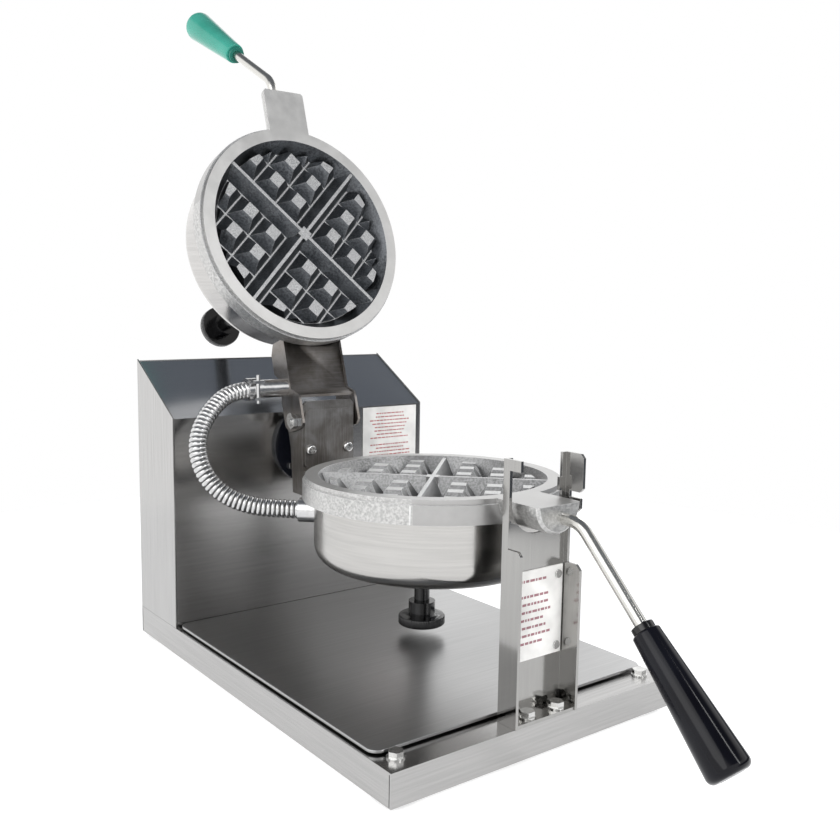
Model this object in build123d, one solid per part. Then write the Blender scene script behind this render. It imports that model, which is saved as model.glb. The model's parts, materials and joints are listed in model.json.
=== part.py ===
from build123d import *
import os
from math import cos, radians, sin, sqrt, tan

# Flip-over round waffle maker, modelled as it stands open: the lid is folded back on its
# hinge and the lower half lies level.  Millimetres.  X to the right, Y to the back, Z up.
# Everything is drawn from the ground under the middle of the base, and moved to the origin,
# which is under the middle of the open machine's whole length, as it is written out.

ORIGIN_TO_BASE = 5.5       # how far behind the origin the middle of the base stands

# ---- Base ---------------------------------------------------------------------------
BASE_WIDTH = 280.0
BASE_DEPTH = 420.0
BASE_TOP = 28.0            # height of the base's top sheet above the ground
BASE_SHEET = 1.5
SKIRT_BOTTOM = 3.0         # lower edge of the base's turned-down sides
SKIRT_HEM = 12.0           # width of the folded hem under the skirt
CORNER_GAP = 0.8           # open seam where two skirts meet
FOOT_RADIUS = 14.0
FOOT_INSET_X = 16.0        # foot bolt to the side of the base
FOOT_INSET_Y = 17.0        # foot bolt to the front of the base
BOLT_RADIUS = 3.0          # M6 hardware
HEX_ACROSS = 10.0
HEX_HEIGHT = 4.0
WASHER_RADIUS = 6.5
WASHER_THICK = 1.2

# ---- Drip tray ----------------------------------------------------------------------
TRAY_SHEET = 1.0
TRAY_TOP = 31.8
TRAY_LIP = 2.4             # depth of the turned-down edge, sheet included
TRAY_SIDE_GAP = 3.0        # tray edge to the side of the base
TRAY_BOLT_GAP = 1.0        # tray edge to the foot washers
TRAY_CORNER = 9.0
TRAY_PAD_RADIUS = 5.0
TRAY_PAD_INSET = 25.0
TRAY_BACK_GAP = 0.5        # tray edge to the housing

# ---- Housing ------------------------------------------------------------------------
HOUSING_DEPTH = 81.0
HOUSING_FRONT_TOP = 223.5
HOUSING_BACK_TOP = 271.5
HOUSING_SHEET = 1.5
SLOPE_RECESS = 1.2         # the top sheet sits this far below the side panels' edges
PANEL_GAP = 0.3
LABEL_THICK = 0.4

# ---- On and in the housing ------------------------------------------------------------
LABEL_LEFT = 66.0          # from the middle to the warning label's left edge
LABEL_SIDE_GAP = 6.0
LABEL_BOTTOM = 150.0
LABEL_TOP_GAP = 1.5        # label to the housing's front top edge
VENT_COUNT = 6
VENT_X = 70.0              # middle of each column of vents
VENT_WIDTH = 60.0
VENT_HEIGHT = 4.0
VENT_PITCH = 12.0
VENT_BOTTOM = 170.0
SCREW_HEAD_RADIUS = 3.8
SCREW_HEAD = 2.2
INLET_X = 70.0
INLET_Z = 62.0
INLET_HALF_WIDTH = 14.0
INLET_HALF_HEIGHT = 10.0
INLET_RIM = 6.0            # how far the inlet's flange reaches past its hole, each side
INLET_CLEARANCE = 0.2
ROCKER_BEHIND = 43.0       # housing front to the rocker and the lamp
ROCKER_Z = 90.0
ROCKER_RADIUS = 7.0
ROCKER_HOLE = 9.5
ROCKER_TILT = 9.0          # degrees to each side
TRUNNION_RADIUS = 1.2
LAMP_Z = 125.0
LAMP_RADIUS = 5.0
TERMINAL_LEFT = -90.0
TERMINAL_PITCH = 12.0
TERMINAL_COUNT = 5
TERMINAL_DEPTH = 22.0
TERMINAL_HEIGHT = 20.0
TERMINAL_BEHIND = 30.0     # housing front to the terminal block

# ---- Turning head: axis, cast grids and spun shells ------------------------------------
AXIS_Z = 190.0             # height of the turning axis and of the parting plane
RIM_CENTRE_Y = -71.5
RIM_RADIUS = 105.0
RIM_LIP = 4.0              # height of the narrow lip above the casting's band
BAND_RADIUS = 107.0
BAND_DEPTH = 19.0          # parting plane to the underside of the band
PARTING_GAP = 0.4          # left between the two halves when shut
CAVITY_RADIUS = 94.0       # at the rim
CAVITY_FLOOR_RADIUS = 86.0
CAVITY_DEPTH = 16.0
STUD_WALL_GAP = 0.5        # outermost studs to the foot of the cavity's wall
CASTING_FLOOR = 7.0
RIDGE_HALF_BASE = 9.4
RIDGE_CREST = 3.0
RIDGE_DROP = 1.5           # ridge crest below the rim
CROSS_SQUARE = 10.5
STUD_PITCH = 28.6
STUD_VALLEY = 1.5
STUD_TOP = 12.0
STUD_HEIGHT = 13.0
STUD_ROWS = 3
LUG_RADIUS = 21.7
LUG_REACH = 23.0           # lug end in front of the stand's web
LUG_CHAMFER = 2.0
SHELL_RADIUS = 97.5
SHELL_SHEET = 1.2
SHELL_DEPTH = 73.0         # parting plane to the shell's closed end
SHELL_FILLET = 17.0
BOSS_CIRCLE = 60.0
BOSS_RADIUS = 6.0
ELEMENT_RADIUS = 44.0
ELEMENT_TUBE = 4.0

# ---- Handles ------------------------------------------------------------------------
HANDLE_X = 5.0             # each rod stands this far to one side of the axis
HANDLE_DROP = 11.0         # rod centre below the parting plane
ROD_RADIUS = 4.5
ROD_SOCKET = 14.0          # length of rod held in the lug
ROD_STRAIGHT = 15.0        # lug end to the theoretical corner of the bend
ROD_BEND = 22.0
ROD_ANGLE = 45.0
ROD_SLOPE = 86.5           # corner of the bend to the grip
GRIP_LENGTH = 100.0
GRIP_RADIUS_NEAR = 10.0
GRIP_RADIUS_FAR = 15.5
GRIP_DOME = 5.0
GRIP_SOCKET = 60.0
FERRULE_LENGTH = 5.0

# ---- Thermostat knobs -----------------------------------------------------------------
KNOB_X = 31.8
KNOB_Y = 53.0              # from the rim centre towards the hinge
KNOB_LEVEL = 144.3         # parting plane to the middle of the knob's disc
KNOB_RADIUS = 21.0
KNOB_THICK = 8.0
KNOB_COLLAR_RADIUS = 12.0
KNOB_COLLAR = 13.0
KNOB_NECK_RADIUS = 7.0
KNOB_SHAFT_RADIUS = 3.0
KNOB_SHELL_GAP = 2.0       # knob's neck to the shell
KNURLS = 60
KNURL_RADIUS = 0.7
THERMOSTAT = (30.0, 24.0, 26.0)
RUNNING = 0.05             # radial clearance of a turning fit

# ---- Lid hinge and brackets -----------------------------------------------------------
HINGE_Y = 105.0
HINGE_RISE = 27.5          # above the turning axis, as are the next rises
OPEN_ANGLE = 107.5
PIN_RADIUS = 4.0
PIN_HEAD_RADIUS = 6.5
PIN_HEAD = 1.6
BRACKET_SHEET = 2.5
LOWER_HALF_WIDTH = 28.5    # outside of the lower bracket
BRACKET_GAP = 1.0          # side play between the two brackets
BRACKET_DROP = 20.0        # parting plane to the bracket's web
TONGUE_START_Y = 8.0       # bracket tongue's end, inside the shell
TONGUE_HALF = 20.0
TONGUE_SCREW_X = 12.0
TONGUE_SCREW_Y = 19.5
TONGUE_SCREW_GRIP = 7.0
FLANGE_START_Y = 28.0      # bracket side flanges begin clear of the shell
WALL_Y = 90.0              # front of the lower bracket's upright wall
WALL_RISE = 46.0
WALL_CORNER = 4.0
WALL_DROP = 43.0           # below the turning axis
LOWER_FLANGE_REAR = 118.0
PLATE_THICK = 2.0
PLATE_HALF_WIDTH = 27.0
PLATE_RISE = 38.0
PLATE_DROP = 17.5
PLATE_CORNER = 6.0
PLATE_SCREW_X = 20.5
LID_WEB_BEND_Y = 77.0      # where the lid bracket's web starts to slant
LID_WEB_END_Y = 85.2
LID_WEB_END_RISE = 8.5     # parting plane to the web's lower end
EAR_REAR_Y = 116.0
EAR_RISE = 40.0
FLANGE_RISE = 46.0
WAIST_Y = 60.0             # the lid flanges narrow here, to pass the housing when the head turns
WAIST_RISE = 37.0
STUD_BACK_Y = 91.0         # earth stud on the open lid's ear

# ---- Pivot --------------------------------------------------------------------------
TUBE_RADIUS = 17.0
TUBE_BORE = 13.0
TUBE_REACH = 71.0          # behind the housing's front
HUB_RADIUS = 25.5
HUB_THICK = 8.0
BUSH_WALL = 3.0
SLEEVE_WALL = 3.0
SLEEVE_REACH = 57.0        # behind the housing's front
BUSH_LENGTH = 16.0
BEARING_FLANGE_MARGIN = 9.7   # screw circle to the flange's edge
BEARING_FLANGE = 4.0
BEARING_SCREW_MARGIN = 5.25   # sleeve to the screw circle
COLLAR_RADIUS = 25.0
COLLAR_LENGTH = 10.0
COLLAR_PLAY = 0.5

# ---- Front stand ----------------------------------------------------------------------
STAND_INSET = 16.0         # front of the web behind the front of the base
STAND_HALF_WIDTH = 31.5
STAND_SHEET = 2.5
STAND_FLANGE = 17.0
STAND_RISE = 32.5          # above the turning axis
STAND_SLOT_GAP = 3.3       # lug to the slot round it
STAND_TAB_GAP = 0.8        # tab beside the lug to the lug
STAND_LEFT_STEP = 158.0    # top of the left flange's full depth
STAND_RIGHT_STEP = 139.5
STAND_NARROW = 4.0         # flange depth above the step
STAND_BOLT_X = (-12.0, 18.0)
PLATE_LABEL_Z = (70.0, 138.0)

# ---- Flexible conduit -------------------------------------------------------------------
CONDUIT_RADIUS = 8.0
CONNECTOR_RADIUS = 10.5
CONNECTOR_SHOULDER = 5.5   # solid length between the conduit and the shell
CONNECTOR_NIPPLE = 14.0
NIPPLE_RADIUS = 7.5
CONDUIT_ROUTE = (
    (-60.0, 15.0, 150.5),
    (-79.0, 34.0, 150.5),
    (-102.0, 53.0, 152.0),
    (-123.0, 72.0, 163.0),
    (-134.0, 86.0, 185.0),
    (-131.0, 98.0, 210.0),
    (-113.0, 108.0, 232.0),
    (-87.0, 116.0, 247.0),
    (-60.0, 116.0, 247.0),
)
CONDUIT_PLUG = 14.0        # length held in each connector

# ---- Derived places -------------------------------------------------------------------
front_y = -BASE_DEPTH / 2
back_y = BASE_DEPTH / 2
side_x = BASE_WIDTH / 2
housing_y = back_y - HOUSING_DEPTH
stand_front_y = front_y + STAND_INSET
lug_end_y = stand_front_y - LUG_REACH
slot_radius = LUG_RADIUS + STAND_SLOT_GAP
stand_top = AXIS_Z + STAND_RISE
hinge_z = AXIS_Z + HINGE_RISE
wall_top = AXIS_Z + WALL_RISE
wall_bottom = AXIS_Z - WALL_DROP
plate_top = AXIS_Z + PLATE_RISE
plate_bottom = AXIS_Z - PLATE_DROP
tube_rear_y = housing_y + TUBE_REACH
sleeve_rear_y = housing_y + SLEEVE_REACH
slope_angle_tan = (HOUSING_BACK_TOP - HOUSING_FRONT_TOP) / HOUSING_DEPTH
foot_x = side_x - FOOT_INSET_X
foot_y = -front_y - FOOT_INSET_Y
tray_x = side_x - TRAY_SIDE_GAP
tray_front = -foot_y + WASHER_RADIUS + TRAY_BOLT_GAP
tray_back = housing_y - TRAY_BACK_GAP
rocker_y = housing_y + ROCKER_BEHIND
rim_z = AXIS_Z - PARTING_GAP / 2
band_z = AXIS_Z - BAND_DEPTH
cavity_z = rim_z - CAVITY_DEPTH
casting_z = cavity_z - CASTING_FLOOR
shell_z = AXIS_Z - SHELL_DEPTH
web_z = AXIS_Z - BRACKET_DROP
hub_y = WALL_Y + BRACKET_SHEET
lid_inner_x = LOWER_HALF_WIDTH + BRACKET_GAP
lid_outer_x = lid_inner_x + BRACKET_SHEET
knob_y = RIM_CENTRE_Y + KNOB_Y
knob_z = AXIS_Z - KNOB_LEVEL
bush_bore = TUBE_RADIUS + RUNNING
sleeve_bore = bush_bore + BUSH_WALL
sleeve_radius = sleeve_bore + SLEEVE_WALL
bearing_circle = sleeve_radius + BEARING_SCREW_MARGIN
bearing_radius = bearing_circle + BEARING_FLANGE_MARGIN
stand_back_y = stand_front_y + STAND_SHEET
stand_edge_y = stand_front_y - STAND_FLANGE
rod_z = AXIS_Z - HANDLE_DROP
rod_corner_y = lug_end_y - ROD_STRAIGHT
slope_dir = Vector(0, -cos(radians(ROD_ANGLE)), -sin(radians(ROD_ANGLE)))
grip_start = Vector(HANDLE_X, rod_corner_y, rod_z) + slope_dir * ROD_SLOPE

HEAD_AXIS = Axis((0, 0, AXIS_Z), (0, 1, 0))
HINGE_AXIS = Axis((0, HINGE_Y, hinge_z), (1, 0, 0))


# ---- Shape helpers ----------------------------------------------------------------------
def block(x0, x1, y0, y1, z0, z1):
    """A box between two corners."""
    return Pos((x0 + x1) / 2, (y0 + y1) / 2, (z0 + z1) / 2) * Box(x1 - x0, y1 - y0, z1 - z0)


def bar(start, end, radius):
    """A round bar from one point to another."""
    run = Vector(*end) - Vector(*start)
    plane = Plane(origin=start, z_dir=run)
    return plane * Cylinder(radius, run.length, align=(Align.CENTER, Align.CENTER, Align.MIN))


def prism(points, axis, low, high):
    """A straight-sided outline, extruded along X, Y or Z from low to high."""
    planes = {"x": Plane.YZ.offset(low), "y": Plane.XZ.offset(-high), "z": Plane.XY.offset(low)}
    outline = make_face(Polyline(*points, close=True))
    return extrude(planes[axis] * outline, high - low)


def hex_bar(start, end, across):
    """A hexagonal bar, such as a nut or a bolt's head."""
    run = Vector(*end) - Vector(*start)
    plane = Plane(origin=start, z_dir=run)
    return extrude(plane * RegularPolygon(across / 2, 6, major_radius=False), run.length)


def flipped(shape):
    """A lower-half shape turned over on the head's axis, so that it belongs to the shut lid."""
    return shape.rotate(HEAD_AXIS, 180)


def opened(shape):
    """A shape of the shut lid, folded back on the hinge."""
    return shape.rotate(HINGE_AXIS, -OPEN_ANGLE)


# ---- Base -----------------------------------------------------------------------------
def make_base_pan():
    shell = block(-side_x, side_x, front_y, back_y, SKIRT_BOTTOM, BASE_TOP)
    inner = block(-side_x + BASE_SHEET, side_x - BASE_SHEET, front_y + BASE_SHEET, back_y - BASE_SHEET,
                  SKIRT_BOTTOM + BASE_SHEET, BASE_TOP - BASE_SHEET)
    mouth = block(-side_x + SKIRT_HEM, side_x - SKIRT_HEM, front_y + SKIRT_HEM, back_y - SKIRT_HEM,
                  SKIRT_BOTTOM - 1, SKIRT_BOTTOM + BASE_SHEET + 1)
    pan = shell - inner - mouth
    for sx in (-1, 1):
        for sy in (-1, 1):
            seam_y = sy * (back_y - BASE_SHEET - CORNER_GAP / 2)
            seam = Pos(sx * side_x, seam_y, 0) * Box(2 * SKIRT_HEM + 2, CORNER_GAP,
                                                     2 * (BASE_TOP - BASE_SHEET))
            foot = Pos(sx * foot_x, sy * foot_y, 0)
            hole = foot * Cylinder(BOLT_RADIUS, 3 * BASE_TOP)
            clear = foot * Cylinder(FOOT_RADIUS + 1, 2 * (SKIRT_BOTTOM + BASE_SHEET + 1))
            pan = pan - seam - hole - clear
    for x in STAND_BOLT_X:
        pan = pan - Pos(x, stand_bolt_y(), BASE_TOP) * Cylinder(BOLT_RADIUS, 4 * BASE_SHEET)
    return pan


def stand_bolt_y():
    return (stand_front_y + stand_edge_y) / 2


def make_feet():
    feet = []
    for sx in (-1, 1):
        for sy in (-1, 1):
            height = BASE_TOP - BASE_SHEET
            body = Cone(FOOT_RADIUS - 2, FOOT_RADIUS, height, align=(Align.CENTER, Align.CENTER, Align.MIN))
            socket = Pos(0, 0, height) * Cylinder(BOLT_RADIUS, 2 * (height - 8))
            feet.append(Pos(sx * foot_x, sy * foot_y, 0) * (body - socket))
    return Compound(children=feet)


def make_hex_bolt(x, y, seat, length):
    """A hex bolt with a washer, standing on a level seat."""
    washer = bar((x, y, seat), (x, y, seat + WASHER_THICK), WASHER_RADIUS)
    head = hex_bar((x, y, seat + WASHER_THICK), (x, y, seat + WASHER_THICK + HEX_HEIGHT), HEX_ACROSS)
    shank = bar((x, y, seat - length), (x, y, seat + WASHER_THICK), BOLT_RADIUS)
    return washer + head + shank


def make_foot_bolts():
    bolts = []
    for sx in (-1, 1):
        for sy in (-1, 1):
            bolts.append(make_hex_bolt(sx * foot_x, sy * foot_y, BASE_TOP, 18))
    return Compound(children=bolts)


# ---- Drip tray ------------------------------------------------------------------------
def make_drip_tray():
    centre_y = (tray_front + tray_back) / 2
    depth = tray_back - tray_front
    outline = Pos(0, centre_y) * RectangleRounded(2 * tray_x, depth, TRAY_CORNER)
    inside = Pos(0, centre_y) * RectangleRounded(2 * (tray_x - TRAY_SHEET), depth - 2 * TRAY_SHEET,
                                                 TRAY_CORNER - TRAY_SHEET)
    tray = extrude(Pos(0, 0, TRAY_TOP - TRAY_LIP) * outline, TRAY_LIP)
    hollow = extrude(Pos(0, 0, TRAY_TOP - TRAY_LIP - 1) * inside, TRAY_LIP + 1 - TRAY_SHEET)
    return tray - hollow


def make_tray_pads():
    pads = []
    for x in (-tray_x + TRAY_PAD_INSET, tray_x - TRAY_PAD_INSET):
        for y in (tray_front + TRAY_PAD_INSET, tray_back - TRAY_PAD_INSET):
            pads.append(bar((x, y, BASE_TOP), (x, y, TRAY_TOP - TRAY_SHEET), TRAY_PAD_RADIUS))
    return Compound(children=pads)


# ---- Housing --------------------------------------------------------------------------
def make_housing_side(sign):
    """One side panel, with its upper edge standing a little above the sloping top."""
    points = [(housing_y, BASE_TOP), (back_y, BASE_TOP), (back_y, HOUSING_BACK_TOP),
              (housing_y, HOUSING_FRONT_TOP)]
    low, high = sorted((sign * side_x, sign * (side_x - HOUSING_SHEET)))
    panel = prism(points, "x", low, high)
    if sign > 0:
        panel = panel - bar((side_x - 10, rocker_y, ROCKER_Z), (side_x + 10, rocker_y, ROCKER_Z), ROCKER_HOLE)
        panel = panel - bar((side_x - 10, rocker_y, LAMP_Z), (side_x + 10, rocker_y, LAMP_Z), LAMP_RADIUS)
    return panel


def make_housing_front():
    """Front and sloping top, bent from one sheet."""
    x = side_x - HOUSING_SHEET - PANEL_GAP
    rise = HOUSING_SHEET * sqrt(1 + slope_angle_tan ** 2)
    top_front = HOUSING_FRONT_TOP - SLOPE_RECESS
    top_back = top_front + slope_angle_tan * (HOUSING_DEPTH - HOUSING_SHEET - PANEL_GAP)
    inner_y = housing_y + HOUSING_SHEET
    rear = back_y - HOUSING_SHEET - PANEL_GAP
    points = [(housing_y, BASE_TOP), (inner_y, BASE_TOP),
              (inner_y, top_front - rise + slope_angle_tan * HOUSING_SHEET),
              (rear, top_back - rise), (rear, top_back), (housing_y, top_front)]
    sheet = prism(points, "x", -x, x)
    sheet = sheet - bar((0, housing_y - 5, AXIS_Z), (0, housing_y + 5, AXIS_Z), sleeve_radius)
    for x, z in bearing_screw_places():
        sheet = sheet - bar((x, housing_y - 5, z), (x, housing_y + 5, z), BOLT_RADIUS)
    return sheet


def bearing_screw_places():
    reach = bearing_circle * sin(radians(45))
    return [(sx * reach, AXIS_Z + sz * reach) for sx in (-1, 1) for sz in (-1, 1)]


def make_housing_back():
    x = side_x - HOUSING_SHEET - PANEL_GAP
    panel = block(-x, x, back_y - HOUSING_SHEET, back_y, BASE_TOP, HOUSING_BACK_TOP - SLOPE_RECESS)
    for row in range(VENT_COUNT):
        z = VENT_BOTTOM + row * VENT_PITCH
        for cx in (-VENT_X, VENT_X):
            slot = block(cx - VENT_WIDTH / 2, cx + VENT_WIDTH / 2, back_y - 3, back_y + 3, z, z + VENT_HEIGHT)
            panel = panel - slot
    inlet = block(INLET_X - INLET_HALF_WIDTH, INLET_X + INLET_HALF_WIDTH, back_y - 3, back_y + 3,
                  INLET_Z - INLET_HALF_HEIGHT, INLET_Z + INLET_HALF_HEIGHT)
    return panel - inlet


def make_back_screws():
    screws = []
    for x in (-side_x + 12, 0, side_x - 12):
        for z in (BASE_TOP + 14, HOUSING_BACK_TOP - 20):
            head = bar((x, back_y, z), (x, back_y + SCREW_HEAD, z), SCREW_HEAD_RADIUS)
            screws.append(head)
    return Compound(children=screws)


def make_power_inlet():
    """Three-pin mains inlet."""
    flange_x = INLET_HALF_WIDTH + INLET_RIM
    flange_z = INLET_HALF_HEIGHT + INLET_RIM - 2
    body_x = INLET_HALF_WIDTH - INLET_CLEARANCE
    body_z = INLET_HALF_HEIGHT - INLET_CLEARANCE
    flange = block(INLET_X - flange_x, INLET_X + flange_x, back_y, back_y + 2.5,
                   INLET_Z - flange_z, INLET_Z + flange_z)
    body = block(INLET_X - body_x, INLET_X + body_x, back_y - 24, back_y, INLET_Z - body_z, INLET_Z + body_z)
    mouth = block(INLET_X - body_x + 3, INLET_X + body_x - 3, back_y - 16, back_y + 5,
                  INLET_Z - body_z + 3, INLET_Z + body_z - 3)
    inlet = flange + body - mouth
    for dx in (-6, 0, 6):
        inlet = inlet + block(INLET_X + dx - 1, INLET_X + dx + 1, back_y - 17, back_y - 4,
                              INLET_Z - 2.5, INLET_Z + 2.5)
    return inlet


def make_rocker_bezel():
    ring = bar((side_x, rocker_y, ROCKER_Z), (side_x + 2, rocker_y, ROCKER_Z), ROCKER_HOLE + 2)
    barrel = bar((side_x - 18, rocker_y, ROCKER_Z), (side_x, rocker_y, ROCKER_Z), ROCKER_HOLE - 0.2)
    hollow = bar((side_x - 12, rocker_y, ROCKER_Z), (side_x + 3, rocker_y, ROCKER_Z), ROCKER_RADIUS + 1)
    return ring + barrel - hollow


def make_rocker():
    """Round rocker with two shallow faces that meet over its trunnions."""
    body = bar((side_x - 7, rocker_y, ROCKER_Z), (side_x + 5, rocker_y, ROCKER_Z), ROCKER_RADIUS)
    tilt = tan(radians(ROCKER_TILT))
    crest, reach = side_x + 2.6, ROCKER_RADIUS + 1
    points = [(side_x - 8, ROCKER_Z - reach), (crest + reach * tilt, ROCKER_Z - reach), (crest, ROCKER_Z),
              (crest + reach * tilt, ROCKER_Z + reach), (side_x - 8, ROCKER_Z + reach)]
    rocker = body & prism(points, "y", rocker_y - 9, rocker_y + 9)
    half = ROCKER_RADIUS + 0.7
    rocker = rocker + bar((side_x - 2, rocker_y - half, ROCKER_Z), (side_x - 2, rocker_y + half, ROCKER_Z),
                          TRUNNION_RADIUS)
    return rocker.rotate(Axis((side_x - 2, rocker_y, ROCKER_Z), (0, 1, 0)), -ROCKER_TILT)


def make_pilot_lamp():
    dome = bar((side_x, rocker_y, LAMP_Z), (side_x + 3, rocker_y, LAMP_Z), 6.5)
    barrel = bar((side_x - 16, rocker_y, LAMP_Z), (side_x, rocker_y, LAMP_Z), LAMP_RADIUS)
    return chamfer(dome.edges().sort_by(Axis.X)[-1], 1.2) + barrel


def make_terminal_block():
    front = housing_y + TERMINAL_BEHIND
    middle = front + TERMINAL_DEPTH / 2
    top = BASE_TOP + TERMINAL_HEIGHT
    strip = block(TERMINAL_LEFT, TERMINAL_LEFT + TERMINAL_COUNT * TERMINAL_PITCH, front, front + TERMINAL_DEPTH,
                  BASE_TOP, top)
    for i in range(TERMINAL_COUNT):
        x = TERMINAL_LEFT + (i + 0.5) * TERMINAL_PITCH
        strip = strip - bar((x, middle, top - 8), (x, middle, top + 2), 3)
    return strip


def make_housing_label():
    return block(LABEL_LEFT, side_x - LABEL_SIDE_GAP, housing_y - LABEL_THICK, housing_y,
                 LABEL_BOTTOM, HOUSING_FRONT_TOP - SLOPE_RECESS - LABEL_TOP_GAP)


# ---- Pivot ------------------------------------------------------------------------------
def make_pivot_bearing():
    flange = bar((0, housing_y - BEARING_FLANGE, AXIS_Z), (0, housing_y, AXIS_Z), bearing_radius)
    sleeve = bar((0, housing_y - BEARING_FLANGE, AXIS_Z), (0, sleeve_rear_y, AXIS_Z), sleeve_radius)
    bore = bar((0, housing_y - 9, AXIS_Z), (0, sleeve_rear_y + 5, AXIS_Z), sleeve_bore)
    bearing = flange + sleeve - bore
    for x, z in bearing_screw_places():
        bearing = bearing - bar((x, housing_y - 9, z), (x, housing_y + 5, z), BOLT_RADIUS)
    return bearing


def make_bearing_screws():
    screws = []
    for x, z in bearing_screw_places():
        seat = housing_y - BEARING_FLANGE
        head = hex_bar((x, seat, z), (x, seat - 3, z), 8)
        shank = bar((x, seat, z), (x, seat + 14, z), BOLT_RADIUS)
        nut = hex_bar((x, housing_y + HOUSING_SHEET, z), (x, housing_y + HOUSING_SHEET + 5, z), 9)
        screws.append(head + shank + nut)
    return Compound(children=screws)


def make_bushings():
    bushes = []
    front = housing_y - BEARING_FLANGE
    for y in (front, sleeve_rear_y - BUSH_LENGTH):
        outer = bar((0, y, AXIS_Z), (0, y + BUSH_LENGTH, AXIS_Z), sleeve_bore)
        bushes.append(outer - bar((0, y - 1, AXIS_Z), (0, y + BUSH_LENGTH + 1, AXIS_Z), bush_bore))
    return Compound(children=bushes)


def make_pivot_tube():
    hub = bar((0, hub_y, AXIS_Z), (0, hub_y + HUB_THICK, AXIS_Z), HUB_RADIUS)
    tube = bar((0, hub_y, AXIS_Z), (0, tube_rear_y, AXIS_Z), TUBE_RADIUS)
    body = hub + tube - bar((0, hub_y - 1, AXIS_Z), (0, tube_rear_y + 1, AXIS_Z), TUBE_BORE)
    for sx in (-1, 1):
        x = sx * PLATE_SCREW_X
        body = body - bar((x, hub_y - 1, AXIS_Z), (x, hub_y + HUB_THICK + 1, AXIS_Z), 2.5)
    return body


def make_retaining_collar():
    y0 = sleeve_rear_y + COLLAR_PLAY
    ring = bar((0, y0, AXIS_Z), (0, y0 + COLLAR_LENGTH, AXIS_Z), COLLAR_RADIUS)
    ring = ring - bar((0, y0 - 1, AXIS_Z), (0, y0 + COLLAR_LENGTH + 1, AXIS_Z), TUBE_RADIUS)
    middle = y0 + COLLAR_LENGTH / 2
    return ring - bar((0, middle, AXIS_Z + TUBE_RADIUS - 1), (0, middle, AXIS_Z + COLLAR_RADIUS + 1), 2.5)


def make_collar_screw():
    middle = sleeve_rear_y + COLLAR_PLAY + COLLAR_LENGTH / 2
    return bar((0, middle, AXIS_Z + TUBE_RADIUS), (0, middle, AXIS_Z + COLLAR_RADIUS), 2.5)


# ---- Front stand ------------------------------------------------------------------------
def make_front_stand():
    """Channel bent from sheet, with a slot for the lugs between its two arms."""
    x1 = STAND_HALF_WIDTH
    inner = x1 - STAND_SHEET
    web = block(-x1, x1, stand_front_y, stand_back_y, BASE_TOP, stand_top)
    slot = bar((0, stand_front_y - 9, AXIS_Z), (0, stand_back_y + 9, AXIS_Z), slot_radius)
    mouth = block(-slot_radius, slot_radius, stand_front_y - 9, stand_back_y + 9,
                  AXIS_Z, stand_top + 9)
    tab_x = LUG_RADIUS + STAND_TAB_GAP
    tab = block(tab_x, x1, stand_front_y, stand_back_y, AXIS_Z + 4, AXIS_Z + 14)
    foot = block(-inner, inner, stand_edge_y + 1, stand_front_y, BASE_TOP, BASE_TOP + STAND_SHEET)
    for x in STAND_BOLT_X:
        foot = foot - Pos(x, stand_bolt_y(), BASE_TOP) * Cylinder(BOLT_RADIUS, 4 * STAND_SHEET)
    full = stand_edge_y
    narrow = stand_front_y - STAND_NARROW
    left = [(stand_back_y, BASE_TOP), (full, BASE_TOP), (full, STAND_LEFT_STEP - 3),
            (full + 3, STAND_LEFT_STEP), (narrow, STAND_LEFT_STEP), (narrow, stand_top - 8),
            (full + 2, stand_top - 8), (full + 2, stand_top), (stand_back_y, stand_top)]
    right = [(stand_back_y, BASE_TOP), (full, BASE_TOP), (full, STAND_RIGHT_STEP - 4),
             (full + 4, STAND_RIGHT_STEP), (narrow, STAND_RIGHT_STEP), (narrow, AXIS_Z - 11),
             (full + 5, AXIS_Z - 11), (full + 2, AXIS_Z - 8), (full + 2, AXIS_Z - 0.5),
             (narrow, AXIS_Z - 0.5), (narrow, AXIS_Z + 4), (full + 3, AXIS_Z + 4), (full, AXIS_Z + 7),
             (full, stand_top - 3), (full + 3, stand_top), (stand_back_y, stand_top)]
    stand = web - slot - mouth + tab + foot
    stand = stand + prism(left, "x", -x1, -inner) + prism(right, "x", inner, x1)
    return stand


def make_stand_bolts():
    y = stand_bolt_y()
    return Compound(children=[make_hex_bolt(x, y, BASE_TOP + STAND_SHEET, 12) for x in STAND_BOLT_X])


def make_stand_label():
    z0, z1 = PLATE_LABEL_Z
    x = STAND_HALF_WIDTH - STAND_SHEET - 1
    plate = block(-x, x, stand_front_y - 0.8, stand_front_y, z0, z1)
    for px, z in label_rivet_places():
        plate = plate - bar((px, stand_front_y - 3, z), (px, stand_front_y + 1, z), 1.6)
    return plate


def label_rivet_places():
    z0, z1 = PLATE_LABEL_Z
    x = STAND_HALF_WIDTH - STAND_SHEET - 6
    return [(sx * x, z) for sx in (-1, 1) for z in (z0 + 6, z1 - 7)]


def make_label_rivets():
    rivets = []
    for x, z in label_rivet_places():
        head = bar((x, stand_front_y - 2.2, z), (x, stand_front_y - 0.8, z), 3.2)
        rivets.append(head + bar((x, stand_front_y - 0.8, z), (x, stand_front_y, z), 1.6))
    return Compound(children=rivets)


# ---- Cast grid ----------------------------------------------------------------------------
def cavity_cone(radius_grow=0.0):
    """The tapered space inside the rim, from the cavity's floor up to the parting plane."""
    return Pos(0, RIM_CENTRE_Y, cavity_z) * Cone(
        CAVITY_FLOOR_RADIUS + radius_grow, CAVITY_RADIUS + radius_grow, CAVITY_DEPTH,
        align=(Align.CENTER, Align.CENTER, Align.MIN))


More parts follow.
